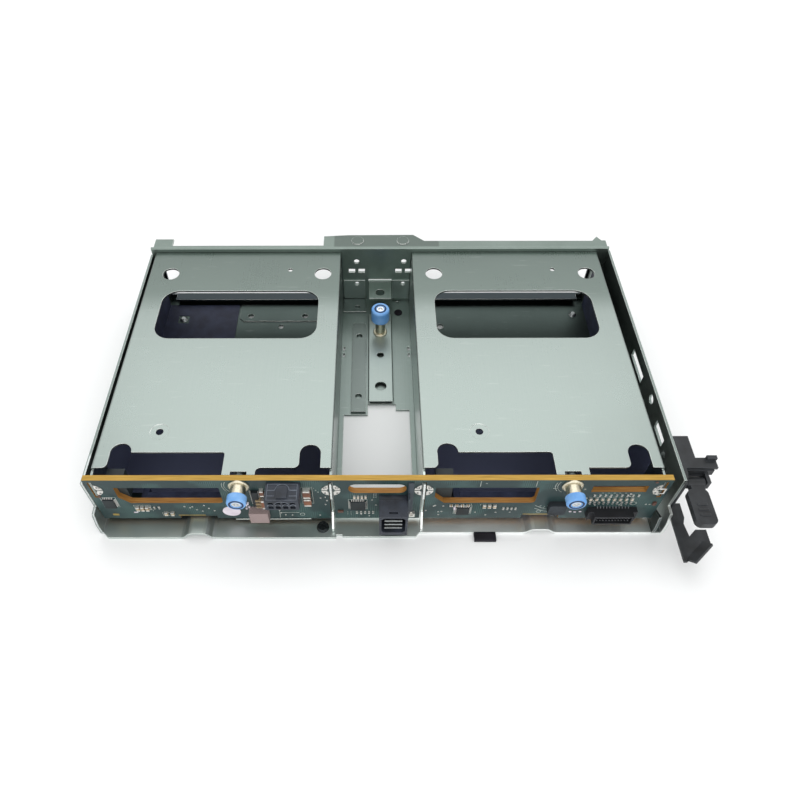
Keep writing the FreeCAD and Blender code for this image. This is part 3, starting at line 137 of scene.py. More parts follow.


# %% [markdown]
# ** Zinc-plated sheet steel** is what the tray, covers and rear panel are made of. Rolling leaves
# fine lines along the sheet, plating leaves faint cloudy patches, and the sheared edges are
# painted near white, partly as wear and partly as a painted highlight. The lines here are 0.5 mm
# apart, the clouds some 30 mm across.
# Handling leaves sparse hairline scratches, drawn 0.2 mm wide so that they show at all.

# %% Rolled and plated pattern
CLOUD, SPANGLE = 30 * MM, 0.7 * MM
ROLLED_WIDE, ROLLED_LONG = 0.5 * MM, 40 * MM
CLOUD_SHARE, ROLLED_SHARE, SPANGLE_SHARE = 0.62, 0.24, 0.14


def sheet_pattern(tree, place):
    """Clouds, rolling lines and spangle in one value between 0 and 1."""
    clouds = add(tree, "ShaderNodeTexNoise",
                 {"Scale": 1 / CLOUD, "Detail": 5.0, "Roughness": 0.6}, {"Vector": place})
    rolled = add(tree, "ShaderNodeMapping",
                 {"Scale": (1 / ROLLED_WIDE, 1 / ROLLED_LONG, 1 / ROLLED_WIDE)}, {"Vector": place})
    lines = add(tree, "ShaderNodeTexNoise", {"Scale": 1.0, "Detail": 2.0},
                {"Vector": rolled.outputs[0]})
    spangle = add(tree, "ShaderNodeTexNoise", {"Scale": 1 / SPANGLE, "Detail": 2.0},
                  {"Vector": place})
    rolled_part = add(tree, "ShaderNodeMath", {"operation": "MULTIPLY", 1: ROLLED_SHARE},
                      {0: lines.outputs["Fac"]})
    mixed = add(tree, "ShaderNodeMath", {"operation": "MULTIPLY_ADD", 1: CLOUD_SHARE},
                {0: clouds.outputs["Fac"], 2: rolled_part.outputs[0]})
    return add(tree, "ShaderNodeMath", {"operation": "MULTIPLY_ADD", 1: SPANGLE_SHARE},
               {0: spangle.outputs["Fac"], 2: mixed.outputs[0]}).outputs[0]


# %% Hairline scratches
SCRATCH_WIDE, SCRATCH_LONG, SCRATCH_TURN = 1.6 * MM, 14 * MM, math.radians(63)


def hairlines(tree, place):
    """A faint mask: the thin crests of a noise that is drawn out along the sheet."""
    drawn = add(tree, "ShaderNodeMapping",
                {"Scale": (1 / SCRATCH_LONG, 1 / SCRATCH_WIDE, 1 / SCRATCH_LONG),
                 "Rotation": (0, 0, SCRATCH_TURN)}, {"Vector": place})
    crest = add(tree, "ShaderNodeTexNoise", {"Scale": 1.0, "Detail": 3.0, "Roughness": 0.55},
                {"Vector": drawn.outputs[0]})
    return add(tree, "ShaderNodeMapRange", {"From Min": 0.64, "From Max": 0.74, "To Max": 0.06},
               {"Value": crest.outputs["Fac"]}).outputs[0]


# %% Zinc-plated sheet steel
# The edge shade is partly edge wear and partly a painted highlight.
SCRATCH_SHADE, EDGE_WEAR_AND_HIGHLIGHT = "#dfe5e0", "#eaeeea"


def zinc_sheet(name, dark, light, roughness=0.4, zones=()):
    """Sheet finish between two shades; a zone is (low, high, fade, shade) in millimetres."""
    material, tree, shader, place = start_material(name, 1.0, roughness)
    pattern = sheet_pattern(tree, place)
    face = add(tree, "ShaderNodeValToRGB", {"stops": [(0.3, dark), (0.7, light)]},
               {"Fac": pattern}).outputs["Color"]
    for low, high, fade, shade in zones:
        inside = box_mask(tree, place, low, high, fade)
        face = add(tree, "ShaderNodeMix", {"data_type": "RGBA", 7: colour(shade)},
                   {0: inside, 6: face}).outputs[2]
    face = add(tree, "ShaderNodeMix", {"data_type": "RGBA", 7: colour(SCRATCH_SHADE)},
               {0: hairlines(tree, place), 6: face}).outputs[2]

    # sheared edges go near white: partly worn, bare steel and partly a painted highlight
    rounded, edge = edge_wear_and_highlight(tree, radius=0.35 * MM, agreement=0.88, wear=0.9)
    finish = add(tree, "ShaderNodeMix", {"data_type": "RGBA", 7: colour(EDGE_WEAR_AND_HIGHLIGHT)},
                 {0: edge, 6: face})
    tree.links.new(finish.outputs[2], shader.inputs["Base Color"])

    rough = add(tree, "ShaderNodeMapRange",
                {"From Min": 0.3, "From Max": 0.7, "To Min": roughness - 0.07,
                 "To Max": roughness + 0.08}, {"Value": pattern})
    tree.links.new(rough.outputs[0], shader.inputs["Roughness"])
    bump = add(tree, "ShaderNodeBump", {"Strength": 0.07, "Distance": 0.05 * MM},
               {"Height": pattern, "Normal": rounded})
    tree.links.new(bump.outputs[0], shader.inputs["Normal"])
    return material


# %% [markdown]
# Places where the sheet differs, each a box with its fade and shade. The left wall's nose is
# paler, and the right wall is darker at its nose. The rest are painted light and shade. The apron
# is painted lighter, most at its right, and so are the right wall behind the latch and the right
# cover's side along the channel. Painted shade darkens the sheet under the covers, on the bays'
# floors and towards the rear, the rear tongue too. The tabs that stand through the board carry a
# painted highlight along their edges.

# %% Places on the sheets
NOSE = ((-131.6, -10, 0), (-129.6, 14, 45), (0.3, 3, 1), "#c2c9c8")
# Painted light: the apron is painted paler all along its front.
APRON_PAINTED_LIGHT = ((-129, -14, -2), (134, -0.5, 6), 3, "#c2ccc8")
# Painted light: the apron is painted paler still towards its right.
APRON_RIGHT_PAINTED_LIGHT = ((30, -14, -2), (134, -0.5, 6), 26, "#f6faf8")
# Painted light on the right wall's inner face behind the latch, which lies in shade.
RIGHT_WALL_PAINTED_LIGHT = ((132.5, 8, 3), (134.8, 60, 45), (0.3, 10, 12), "#f2f6f4")
RIGHT_NOSE = ((130.6, -14, 1), (134.8, -1, 45), (0.3, 6, 1), "#667070")
# Painted shade: the covers are painted darker towards their rear.
REAR_PAINTED_SHADE = ((-140, 124, 30), (140, 170, 45), 22, "#727d78")
# Painted light on the right cover's side along the channel.
INNER_SIDE_PAINTED_LIGHT = ((19.6, -0.2, 0), (21.9, 157, 36.4), 0.2, "#b6c1bc")
# Painted shade: the rear panel's tongue is painted darker.
TONGUE_PAINTED_SHADE = ((-24, 157.5, 36), (36, 170, 45), 1.0, "#68726d")
# Painted highlight: near-white lines on the tabs' edges where they stand through the board.
TAB_EDGE_HIGHLIGHTS = [((x - 0.9, -9, 2), (x + 0.9, -0.3, 45), 0.1, "#f2f5f2")
             for x in (-127.8, -21.0, 21.0, 127.8)]
# Painted shade: the rear panel is painted darker under the covers, inside the bays.
UNDER_COVERS_PAINTED_SHADE = [((x - 54, 130, 2), (x + 54, 157, 33), 0.6, "#3c4346") for x in (-74.4, 74.4)]
# Painted shade: the bays' floors are painted darker under the covers.
BAY_FLOOR_PAINTED_SHADE = [((x - 54, 4, 0.6), (x + 54, 160, 5), 0.3, "#4c5754") for x in (-74.4, 74.4)]

# %% The sheets
COVER_STEEL = zinc_sheet("zinc_sheet_cover", "#87918d", "#949e9a", 0.3,
                         [REAR_PAINTED_SHADE, INNER_SIDE_PAINTED_LIGHT] + TAB_EDGE_HIGHLIGHTS)
TRAY_STEEL = zinc_sheet("zinc_sheet_tray", "#77827e", "#8a9591", 0.4,
                        [APRON_PAINTED_LIGHT, APRON_RIGHT_PAINTED_LIGHT, RIGHT_WALL_PAINTED_LIGHT, RIGHT_NOSE, NOSE] + BAY_FLOOR_PAINTED_SHADE)
REAR_STEEL = zinc_sheet("zinc_sheet_rear", "#76827c", "#8a9690", 0.4,
                        [TONGUE_PAINTED_SHADE] + UNDER_COVERS_PAINTED_SHADE)
BRACKET_STEEL = zinc_sheet("zinc_sheet_bracket", "#8b9692", "#9faaa6")
# Painted shade: a darker copy of the sheet for the rail and patch down in the channel.
RAIL_STEEL_PAINTED_SHADE = zinc_sheet("zinc_sheet_rail_shaded", "#67706d", "#767f7c")
print("sheet steels made")


# %% [markdown]
# **Glass-epoxy board.** The faces carry a dark green solder mask, under which bundles of copper
# tracks show as slightly paler lines, about 0.9 mm apart. The sawn edges and the milled openings
# show the bare laminate, which is a warm tan with its glass layers as fine lines. The face normal
# tells the two apart: the faces look along Y, the edges don't.

# %% Solder mask with copper under it
TRACK_PITCH, BUNDLE, POUR = 0.9 * MM, 9 * MM, 16 * MM
WAVE = math.tau / 20  # the wave texture repeats once in this length at scale 1


def masked_copper(tree, place):
    """The mask's colour, and where copper lifts it: tracks one way or the other, in patches."""
    bands = [add(tree, "ShaderNodeTexWave",
                 {"bands_direction": axis, "Scale": WAVE / TRACK_PITCH},
                 {"Vector": place}).outputs["Fac"] for axis in ("X", "Z")]
    area = add(tree, "ShaderNodeTexNoise", {"Scale": 1 / BUNDLE, "Detail": 2.0}, {"Vector": place})
    lie = add(tree, "ShaderNodeMapRange", {"From Min": 0.47, "From Max": 0.5},
              {"Value": area.outputs["Fac"]})
    tracks = add(tree, "ShaderNodeMix", links={0: lie.outputs[0], 2: bands[0], 3: bands[1]})
    pour = add(tree, "ShaderNodeTexNoise", {"Scale": 1 / POUR, "Detail": 3.0},
               {"Vector": add(tree, "ShaderNodeMapping", {"Location": (0.3, 0, 0.1)},
                              {"Vector": place}).outputs[0]})
    where = add(tree, "ShaderNodeMapRange", {"From Min": 0.42, "From Max": 0.62},
                {"Value": pour.outputs["Fac"]})
    copper = add(tree, "ShaderNodeMath", {"operation": "MULTIPLY"},
                 {0: tracks.outputs[0], 1: where.outputs[0]}).outputs[0]
    green = add(tree, "ShaderNodeValToRGB", {"stops": [(0.2, "#233536"), (0.75, "#3d5956")]},
                {"Fac": copper})
    return green.outputs["Color"], copper


# %% Bare laminate
LAYER_THICK, LAYER_LONG = 0.35 * MM, 9 * MM
TOP_EDGE = 37.9 * MM  # the board's faces end just below this height


def laminate(tree, place):
    """The tan of cut laminate, with painted light along the board's top edge, and its glass layers.
    """
    glass = add(tree, "ShaderNodeMapping",
                {"Scale": (1 / LAYER_LONG, 1 / LAYER_THICK, 1 / LAYER_LONG)}, {"Vector": place})
    layers = add(tree, "ShaderNodeTexNoise", {"Scale": 1.0, "Detail": 2.0},
                 {"Vector": glass.outputs[0]}).outputs["Fac"]
    rim = add(tree, "ShaderNodeValToRGB", {"stops": [(0.3, "#7d5424"), (0.75, "#a87a3c")]},
              {"Fac": layers})
    # Painted light: the top edge faces up and is painted lighter and yellower.
    top = add(tree, "ShaderNodeValToRGB", {"stops": [(0.3, "#9c7a30"), (0.75, "#c09a48")]},
              {"Fac": layers})
    axes = add(tree, "ShaderNodeSeparateXYZ", links={0: place})
    is_top = add(tree, "ShaderNodeMath", {"operation": "GREATER_THAN", 1: TOP_EDGE},
                 {0: axes.outputs["Z"]})
    tan = add(tree, "ShaderNodeMix", {"data_type": "RGBA"},
              {0: is_top.outputs[0], 6: rim.outputs["Color"], 7: top.outputs["Color"]})
    return tan.outputs[2], layers


# %% Glass-epoxy board
def laminate_board():
    """Green mask on the faces and tan laminate on every edge, told apart by the normal."""
    material, tree, shader, place = start_material("glass_epoxy_board", 0.0, 0.45, specular=0.3)
    green, copper = masked_copper(tree, place)
    tan, layers = laminate(tree, place)
    normal = add(tree, "ShaderNodeNewGeometry")
    parts = add(tree, "ShaderNodeSeparateXYZ", links={0: normal.outputs["True Normal"]})
    along = add(tree, "ShaderNodeMath", {"operation": "ABSOLUTE"}, {0: parts.outputs["Y"]})
    is_face = add(tree, "ShaderNodeMath", {"operation": "GREATER_THAN", 1: 0.5},
                  {0: along.outputs[0]}).outputs[0]
    both = add(tree, "ShaderNodeMix", {"data_type": "RGBA"}, {0: is_face, 6: tan, 7: green})
    tree.links.new(both.outputs[2], shader.inputs["Base Color"])
    rough = add(tree, "ShaderNodeMapRange", {"To Min": 0.62, "To Max": 0.42}, {"Value": is_face})
    tree.links.new(rough.outputs[0], shader.inputs["Roughness"])
    height = add(tree, "ShaderNodeMix", links={0: is_face, 2: layers, 3: copper})
    bump = add(tree, "ShaderNodeBump", {"Strength": 0.35, "Distance": 0.05 * MM},
               {"Height": height.outputs[0]})
    tree.links.new(bump.outputs[0], shader.inputs["Normal"])
    return material


BOARD = laminate_board()
print("board made")


# %% [markdown]
# **Moulded plastics.** Connectors, latch and knobs are injection moulded. The tool's spark-eroded
# wall prints a fine matt grain, about 0.2 mm, and long flat walls cool with faint flow clouds.
# Arrises are rubbed a little paler. The film that lines the bays is dark navy, partly painted
# shade for the inside of the bays, and its front is painted paler, a painted light. Pressed
# powder, fired ceramic and rubber differ only in shade, gloss and grain, so they come from the
# same recipe.

# %% Moulded plastics
FLOW = 6 * MM
RUBBED = "#6a6f78"


def moulded(name, dark, light, roughness, grain_mm=0.25, grain_depth=0.25, specular=0.35,
            worn=0.35, zones=()):
    """Plastic between two shades; worn is how pale its arrises are rubbed."""
    material, tree, shader, place = start_material(name, 0.0, roughness, specular)
    flow = add(tree, "ShaderNodeTexNoise", {"Scale": 1 / FLOW, "Detail": 3.0}, {"Vector": place})
    tint = add(tree, "ShaderNodeValToRGB", {"stops": [(0.35, dark), (0.7, light)]},
               {"Fac": flow.outputs["Fac"]}).outputs["Color"]
    for low, high, fade, shade in zones:
        inside = box_mask(tree, place, low, high, fade)
        tint = add(tree, "ShaderNodeMix", {"data_type": "RGBA", 7: colour(shade)},
                   {0: inside, 6: tint}).outputs[2]
    rounded, edge = edge_wear_and_highlight(tree, radius=0.25 * MM, agreement=0.8, wear=worn)
    rubbed = add(tree, "ShaderNodeMix",
                 {"data_type": "RGBA", "blend_type": "SCREEN", 7: colour(RUBBED)},
                 {0: edge, 6: tint})
    tree.links.new(rubbed.outputs[2], shader.inputs["Base Color"])
    grain = add(tree, "ShaderNodeTexNoise", {"Scale": 1 / (grain_mm * MM), "Detail": 2.0},
                {"Vector": place})
    rough = add(tree, "ShaderNodeMapRange",
                {"From Min": 0.3, "From Max": 0.7, "To Min": roughness - 0.06,
                 "To Max": roughness + 0.08}, {"Value": grain.outputs["Fac"]})
    tree.links.new(rough.outputs[0], shader.inputs["Roughness"])
    bump = add(tree, "ShaderNodeBump", {"Strength": grain_depth, "Distance": 0.04 * MM},
               {"Height": grain.outputs["Fac"], "Normal": rounded})
    tree.links.new(bump.outputs[0], shader.inputs["Normal"])
    return material


SOCKET = moulded("glass_filled_nylon_slate", "#22262d", "#323843", 0.5)
DRIVE_SOCKET = moulded("liquid_crystal_polymer_navy", "#2b3149", "#3d4560", 0.5)
HEADER = moulded("header_resin_black", "#141518", "#1f2024", 0.55)
GUARD = moulded("polycarbonate_film_charcoal", "#2b333a", "#3a434b", 0.4)
GUIDE = moulded("abs_dark_green", "#1c2324", "#283033", 0.5)
LATCH = moulded("abs_black_satin", "#1e2022", "#2c2f32", 0.45)
BUMPER = moulded("soft_rubber_black", "#151418", "#211f26", 0.75, specular=0.2)
KNOB = moulded("acetal_light_blue", "#5f96d2", "#82b0e2", 0.4, grain_depth=0.12, worn=0.6)
# Painted shade: the navy ring round each knob stands for the shadow round it.
RING = moulded("navy_knob_shade", "#0d1c3c", "#152a52", 0.45, grain_depth=0.05, worn=0.0)
COIL_DARK = moulded("pressed_powder_dark", "#1d2226", "#2c3238", 0.65, grain_mm=0.15)
# Painted light: the film is painted paler towards the bays' front.
FILM_FRONT_PAINTED_LIGHT = ((-140, 10, 0), (140, 60, 34), 20, "#5f6580")
# The film's dark navy is partly painted shade for the inside of the bays.
FILM = moulded("navy_film_and_bay_shade", "#2a2e40", "#363c52", 0.55, specular=0.3,
               zones=[FILM_FRONT_PAINTED_LIGHT])
CHIP = moulded("epoxy_mould_compound", "#131719", "#20272a", 0.55, grain_mm=0.15)
TANTALUM = moulded("epoxy_case_rust", "#5e3a2a", "#84563c", 0.5, grain_mm=0.15)
CERAMIC = moulded("fired_ceramic_buff", "#8d7a5e", "#b09a78", 0.6, grain_mm=0.12)
RESISTOR = moulded("glazed_ruthenium_black", "#0e0f12", "#1c1e22", 0.3, grain_mm=0.12)
PAPER = moulded("label_paper_pink_white", "#cfc5cf", "#e6dee4", 0.7, grain_mm=0.3, worn=0.0)
print("plastics made")


# %% [markdown]
# **Pressed-powder coil.** The square choke is iron powder pressed in a woven-faced die, so its
# faces carry a fine grid. The real grid is about 0.4 mm; it is drawn at 0.8 mm so that it shows.

# %% Pressed-powder coil
GRID, SPECK = 0.8 * MM, 0.3 * MM
COIL_BEIGE, tree, shader, place = start_material("pressed_powder_beige", 0.0, 0.75, specular=0.25)
grid = add(tree, "ShaderNodeTexChecker", {"Scale": 1 / GRID}, {"Vector": place})
speck = add(tree, "ShaderNodeTexNoise", {"Scale": 1 / SPECK, "Detail": 2.0}, {"Vector": place})
shade = add(tree, "ShaderNodeMath", {"operation": "MULTIPLY_ADD", 1: 0.3},
            {0: grid.outputs["Fac"], 2: speck.outputs["Fac"]})
powder = add(tree, "ShaderNodeValToRGB", {"stops": [(0.3, "#7d6d6d"), (0.95, "#a3928f")]},
             {"Fac": shade.outputs[0]})
tree.links.new(powder.outputs["Color"], shader.inputs["Base Color"])
bump = add(tree, "ShaderNodeBump", {"Strength": 0.4, "Distance": 0.08 * MM},
           {"Height": shade.outputs[0]})
tree.links.new(bump.outputs[0], shader.inputs["Normal"])
print("coil made")


# %% [markdown]
# **Plated small metal.** Ferrules are nickel over brass and look warm, screws and rivets are
# zinc plated and cooler, contact pads are tinned. All are turned or stamped, so they carry very
# fine tool lines, drawn here 0.9 mm apart so that they show at all.

# %% Plated small metal
TOOL_LINE = 0.9 * MM


def plated(name, dark, light, roughness):
    """Bright metal between two shades, with tool lines."""
    material, tree, shader, place = start_material(name, 1.0, roughness)
    lines = add(tree, "ShaderNodeTexNoise",
                {"Scale": 1 / TOOL_LINE, "Detail": 4.0, "Roughness": 0.7}, {"Vector": place})
    tint = add(tree, "ShaderNodeValToRGB", {"stops": [(0.3, dark), (0.7, light)]},
               {"Fac": lines.outputs["Fac"]})
    tree.links.new(tint.outputs["Color"], shader.inputs["Base Color"])
    rough = add(tree, "ShaderNodeMapRange",
                {"From Min": 0.3, "From Max": 0.7, "To Min": roughness - 0.05,
                 "To Max": roughness + 0.1}, {"Value": lines.outputs["Fac"]})
    tree.links.new(rough.outputs[0], shader.inputs["Roughness"])
    rounded = add(tree, "ShaderNodeBevel", {"samples": 4, "Radius": 0.15 * MM})
    bump = add(tree, "ShaderNodeBump", {"Strength": 0.08, "Distance": 0.05 * MM},
               {"Height": lines.outputs["Fac"], "Normal": rounded.outputs[0]})
    tree.links.new(bump.outputs[0], shader.inputs["Normal"])
    return material


NICKEL = plated("nickel_plate_warm", "#b3ab93", "#dbd5c2", 0.3)
ZINC = plated("zinc_plate_bright", "#8d9292", "#b4b9b9", 0.32)
SCREW_HEAD = plated("zinc_plate_polished", "#c4c8cb", "#eef0f1", 0.35)
# A darker tin for the header's pins and tails; on the pins, deep in the header's mouth, it is
# painted shade.
DIM_TIN = plated("tin_plate_dim_and_shaded", "#5f6165", "#85878b", 0.45)
SPRING = plated("spring_wire", "#6d7072", "#909496", 0.3)
TIN = plated("tin_plate", "#cfcdc6", "#f0eeea", 0.4)
GOLD = plated("gold_flash", "#a98943", "#cfae62", 0.35)
BLACK_STEEL = plated("blackened_steel", "#24282a", "#4a4e50", 0.4)
print("plated metals made")


# %% [markdown]
# Each node of the CAD model now gets one of these finishes. The three captive screws are alike
# part for part, so a loop serves them.

# %% Give every CAD node its finish
FINISH = {
    "tray": TRAY_STEEL, "rear_panel": REAR_STEEL, "left_bay_cover": COVER_STEEL,
    "right_bay_cover": COVER_STEEL, "channel_bracket": BRACKET_STEEL, "channel_rail": RAIL_STEEL_PAINTED_SHADE,
    "channel_patch": RAIL_STEEL_PAINTED_SHADE, "light_plates": BRACKET_STEEL, "backplane_board": BOARD,
    "left_drive_connector": DRIVE_SOCKET, "right_drive_connector": DRIVE_SOCKET,
    "guide_sockets": GUIDE, "left_bay_film": FILM, "right_bay_film": FILM, "floor_plug": BUMPER,
    "power_connector": SOCKET, "power_pins": TIN, "cable_connector": SOCKET,
    "connector_blades": ZINC, "connector_guard": GUARD, "board_clip": TIN,
    "pin_connector": HEADER, "connector_pins": DIM_TIN, "square_coil": COIL_BEIGE,
    "round_choke": COIL_DARK, "logic_chips": CHIP, "tantalum_capacitors": TANTALUM,
    "chip_capacitors": CERAMIC, "chip_resistors": RESISTOR, "round_label": PAPER,
    "ground_pads": TIN, "latch_bracket": LATCH, "latch_lever": LATCH, "latch_pin": ZINC,
    "edge_bumper": BUMPER, "rivets": ZINC, "floor_screw": BLACK_STEEL, "lug_nuts": ZINC,
}
for side in ("left", "right", "centre"):
    FINISH[f"{side}_screw_ferrule"] = NICKEL
    FINISH[f"{side}_screw_bushing"] = ZINC
    FINISH[f"{side}_screw"] = SCREW_HEAD
    FINISH[f"{side}_screw_knob"] = KNOB
    FINISH[f"{side}_knob_ring"] = RING
    FINISH[f"{side}_screw_spring"] = SPRING
for name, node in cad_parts.items():
    node.data.materials.clear()
    node.data.materials.append(FINISH[name])
print(len(FINISH), "nodes finished")


# %% [markdown]
# The board's small things repeat: tinned ends on every chip part, bent leads on every circuit,
# rings round every plated hole, printed lines. Each is made once as a Geometry Nodes tree with
# its sizes as named inputs, and copied to places that are read off the CAD parts, so the copies
# always sit where their part is.

# %% Geometry Nodes helpers
def new_tree(name, sizes):
    """A tree that takes a mesh, one named number for each size, and a finish."""
    tree = bpy.data.node_groups.new(name, "GeometryNodeTree")
    doors = tree.interface
    doors.new_socket("Geometry", in_out="OUTPUT", socket_type="NodeSocketGeometry")
    doors.new_socket("Geometry", in_out="INPUT", socket_type="NodeSocketGeometry")
    for label, value in sizes.items():
        kind = "NodeSocketInt" if isinstance(value, int) else "NodeSocketFloat"
        doors.new_socket(label, in_out="INPUT", socket_type=kind).default_value = value
    doors.new_socket("Finish", in_out="INPUT", socket_type="NodeSocketMaterial")
    return tree, add(tree, "NodeGroupInput").outputs


def close_tree(tree, start, geometry):
    """Ends a tree: copies become real faces and get the finish."""
    real = add(tree, "GeometryNodeRealizeInstances", links={0: geometry})
    done = add(tree, "GeometryNodeSetMaterial",
               links={"Geometry": real.outputs[0], "Material": start["Finish"]})
    add(tree, "NodeGroupOutput", links={0: done.outputs[0]})
    print(tree.name, "tree of", len(tree.nodes), "nodes")


def grow(name, tree, sizes, finish, points, edges=(), faces=(), marks=None, body="cage"):
    """Runs a tree on points, edges or faces given in metres and keeps the plain mesh."""
    mesh = bpy.data.meshes.new(name)
    mesh.from_pydata(points, edges, faces)
    for label, values in (marks or {}).items():
        layer = mesh.attributes.new(label, "FLOAT_VECTOR", "POINT")
        layer.data.foreach_set("vector", [number for value in values for number in value])
    piece = bpy.data.objects.new(name, mesh)
    bpy.context.scene.collection.objects.link(piece)
    modifier = piece.modifiers.new("build", "NODES")
    modifier.node_group = tree
    for socket in tree.interface.items_tree:
        if socket.in_out == "INPUT" and socket.name in sizes:
            modifier[socket.identifier] = sizes[socket.name]
        if socket.in_out == "INPUT" and socket.name == "Finish":
            modifier[socket.identifier] = finish
    evaluated = piece.evaluated_get(bpy.context.evaluated_depsgraph_get())
    built = bpy.data.meshes.new_from_object(evaluated)
    piece.modifiers.remove(modifier)
    built.materials.clear()
    built.materials.append(finish)
    piece.data = built
    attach(piece, body)
    low = [min(v.co[i] for v in built.vertices) / MM for i in range(3)]
    high = [max(v.co[i] for v in built.vertices) / MM for i in range(3)]
    print(name, len(built.polygons), "faces", [round(v, 2) for v in low + high])
    return piece


def chip_boxes(node):
    """Boxes of the separate parts in one CAD node, as (low, high) pairs in metres."""
    copy = bmesh.new()
    copy.from_mesh(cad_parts[node].data)
    bmesh.ops.remove_doubles(copy, verts=copy.verts, dist=0.001 * MM)
    seen, boxes = set(), []
    for vertex in copy.verts:
        if vertex in seen:
            continue
        island, waiting = [], [vertex]
        seen.add(vertex)
        while waiting:
            here = waiting.pop()
            island.append(here.co.copy())
            for edge in here.link_edges:
                other = edge.other_vert(here)
                if other not in seen:
                    seen.add(other)
                    waiting.append(other)
        boxes.append((Vector([min(p[i] for p in island) for i in range(3)]),
                      Vector([max(p[i] for p in island) for i in range(3)])))
    copy.free()
    return sorted(boxes, key=lambda box: (box[0].x, box[0].z))


# %% [markdown]
# **Tinned ends.** A chip resistor or capacitor is a ceramic block whose two ends are dipped in
# metal, so that they can be soldered. The dip stands a little proud of the block on every side
# and its outer face is rounded off. A four-sided cone with its tip cut off is enough at this
# size: eight corners, scaled to each chip by an attribute.

# %% Tinned ends tree
END_TAPER, BLOCK_TAPER = 0.86, 0.9
end_tree, start = new_tree("tinned_ends", {"Taper": END_TAPER})
tip = add(end_tree, "ShaderNodeMath", {"operation": "MULTIPLY", 1: math.sqrt(0.5)},
          {0: start["Taper"]})
stub = add(end_tree, "GeometryNodeMeshCone",
           {"Vertices": 4, "Radius Bottom": math.sqrt(0.5), "Depth": 1.0},
           {"Radius Top": tip.outputs[0]})
squared = add(end_tree, "GeometryNodeTransform", {"Rotation": (0, 0, math.radians(45))},
              {"Geometry": stub.outputs["Mesh"]})
standing = add(end_tree, "GeometryNodeTransform", {"Rotation": (math.radians(90), 0, 0)},
               {"Geometry": squared.outputs[0]})
size = add(end_tree, "GeometryNodeInputNamedAttribute",
           {"data_type": "FLOAT_VECTOR", "Name": "size"})
copies = add(end_tree, "GeometryNodeInstanceOnPoints",
             links={"Points": start["Geometry"], "Instance": standing.outputs[0],
                    "Scale": size.outputs[0]})
close_tree(end_tree, start, copies.outputs[0])


# %% Tinned ends on every chip part
DIP_PROUD = 0.08 * MM


def end_places(node, share):
    """Where each part's two dipped ends stand on the board face, and how big each is."""
    places, sizes = [], []
    for low, high in chip_boxes(node):
        span = high - low
        axis = 0 if span.x > span.z else 2
        size = Vector((span.x + 2 * DIP_PROUD, span.y + DIP_PROUD, span.z + 2 * DIP_PROUD))
        size[axis] = span[axis] * share + DIP_PROUD
        middle = (low + high) / 2
        for end, way in ((low[axis], 1), (high[axis], -1)):
            spot = Vector((middle.x, 0, middle.z))
            spot[axis] = end + way * (size[axis] / 2 - DIP_PROUD)
            places.append(spot)
            sizes.append(size)
    return places, sizes


DIPPED = {"chip_capacitors": 0.3, "chip_resistors": 0.3, "tantalum_capacitors": 0.18}
for node, share in DIPPED.items():
    places, sizes = end_places(node, share)
    grow(f"{node}_ends", end_tree, {"Taper": END_TAPER}, TIN, places,
         marks={"size": sizes})


# %% [markdown]
# **Gull-wing leads.** A circuit's legs leave the body half way up, swing down and stand flat on
# their pads. One lead is a smooth curve with a flat strip swept along it. The places and turns
# of its copies come from the four circuits' own boxes.

# %% Lead tree
lead_tree, start = new_tree("gull_wing_leads",
                            {"Reach": 0.9 * MM, "Shoulder": 0.6 * MM,
                             "Lead width": 0.3 * MM, "Lead thickness": 0.12 * MM})
down = add(lead_tree, "ShaderNodeMath", {"operation": "MULTIPLY", 1: -1.0},
           {0: start["Shoulder"]})
out = add(lead_tree, "ShaderNodeMath", {"operation": "MULTIPLY", 1: 0.6}, {0: start["Reach"]})
back = add(lead_tree, "ShaderNodeMath", {"operation": "MULTIPLY", 1: 0.25}, {0: start["Reach"]})
at_body = add(lead_tree, "ShaderNodeCombineXYZ", links={"Y": down.outputs[0]})
over = add(lead_tree, "ShaderNodeCombineXYZ", links={"X": out.outputs[0], "Y": down.outputs[0]})
under = add(lead_tree, "ShaderNodeCombineXYZ", links={"X": back.outputs[0]})
foot = add(lead_tree, "ShaderNodeCombineXYZ", links={"X": start["Reach"]})
path = add(lead_tree, "GeometryNodeCurvePrimitiveBezierSegment", {"Resolution": 6},
           {"Start": at_body.outputs[0], "Start Handle": over.outputs[0],
            "End Handle": under.outputs[0], "End": foot.outputs[0]})
upright = add(lead_tree, "GeometryNodeSetCurveNormal", {"mode": "Z_UP"}, {0: path.outputs[0]})
strip = add(lead_tree, "GeometryNodeCurvePrimitiveQuadrilateral",
            links={"Width": start["Lead thickness"], "Height": start["Lead width"]})
lead = add(lead_tree, "GeometryNodeCurveToMesh", {"Fill Caps": True},
           {"Curve": upright.outputs[0], "Profile Curve": strip.outputs[0]})
turn = add(lead_tree, "GeometryNodeInputNamedAttribute",
           {"data_type": "FLOAT_VECTOR", "Name": "turn"})
copies = add(lead_tree, "GeometryNodeInstanceOnPoints",
             links={"Points": start["Geometry"], "Instance": lead.outputs[0],
                    "Rotation": turn.outputs[0]})
close_tree(lead_tree, start, copies.outputs[0])

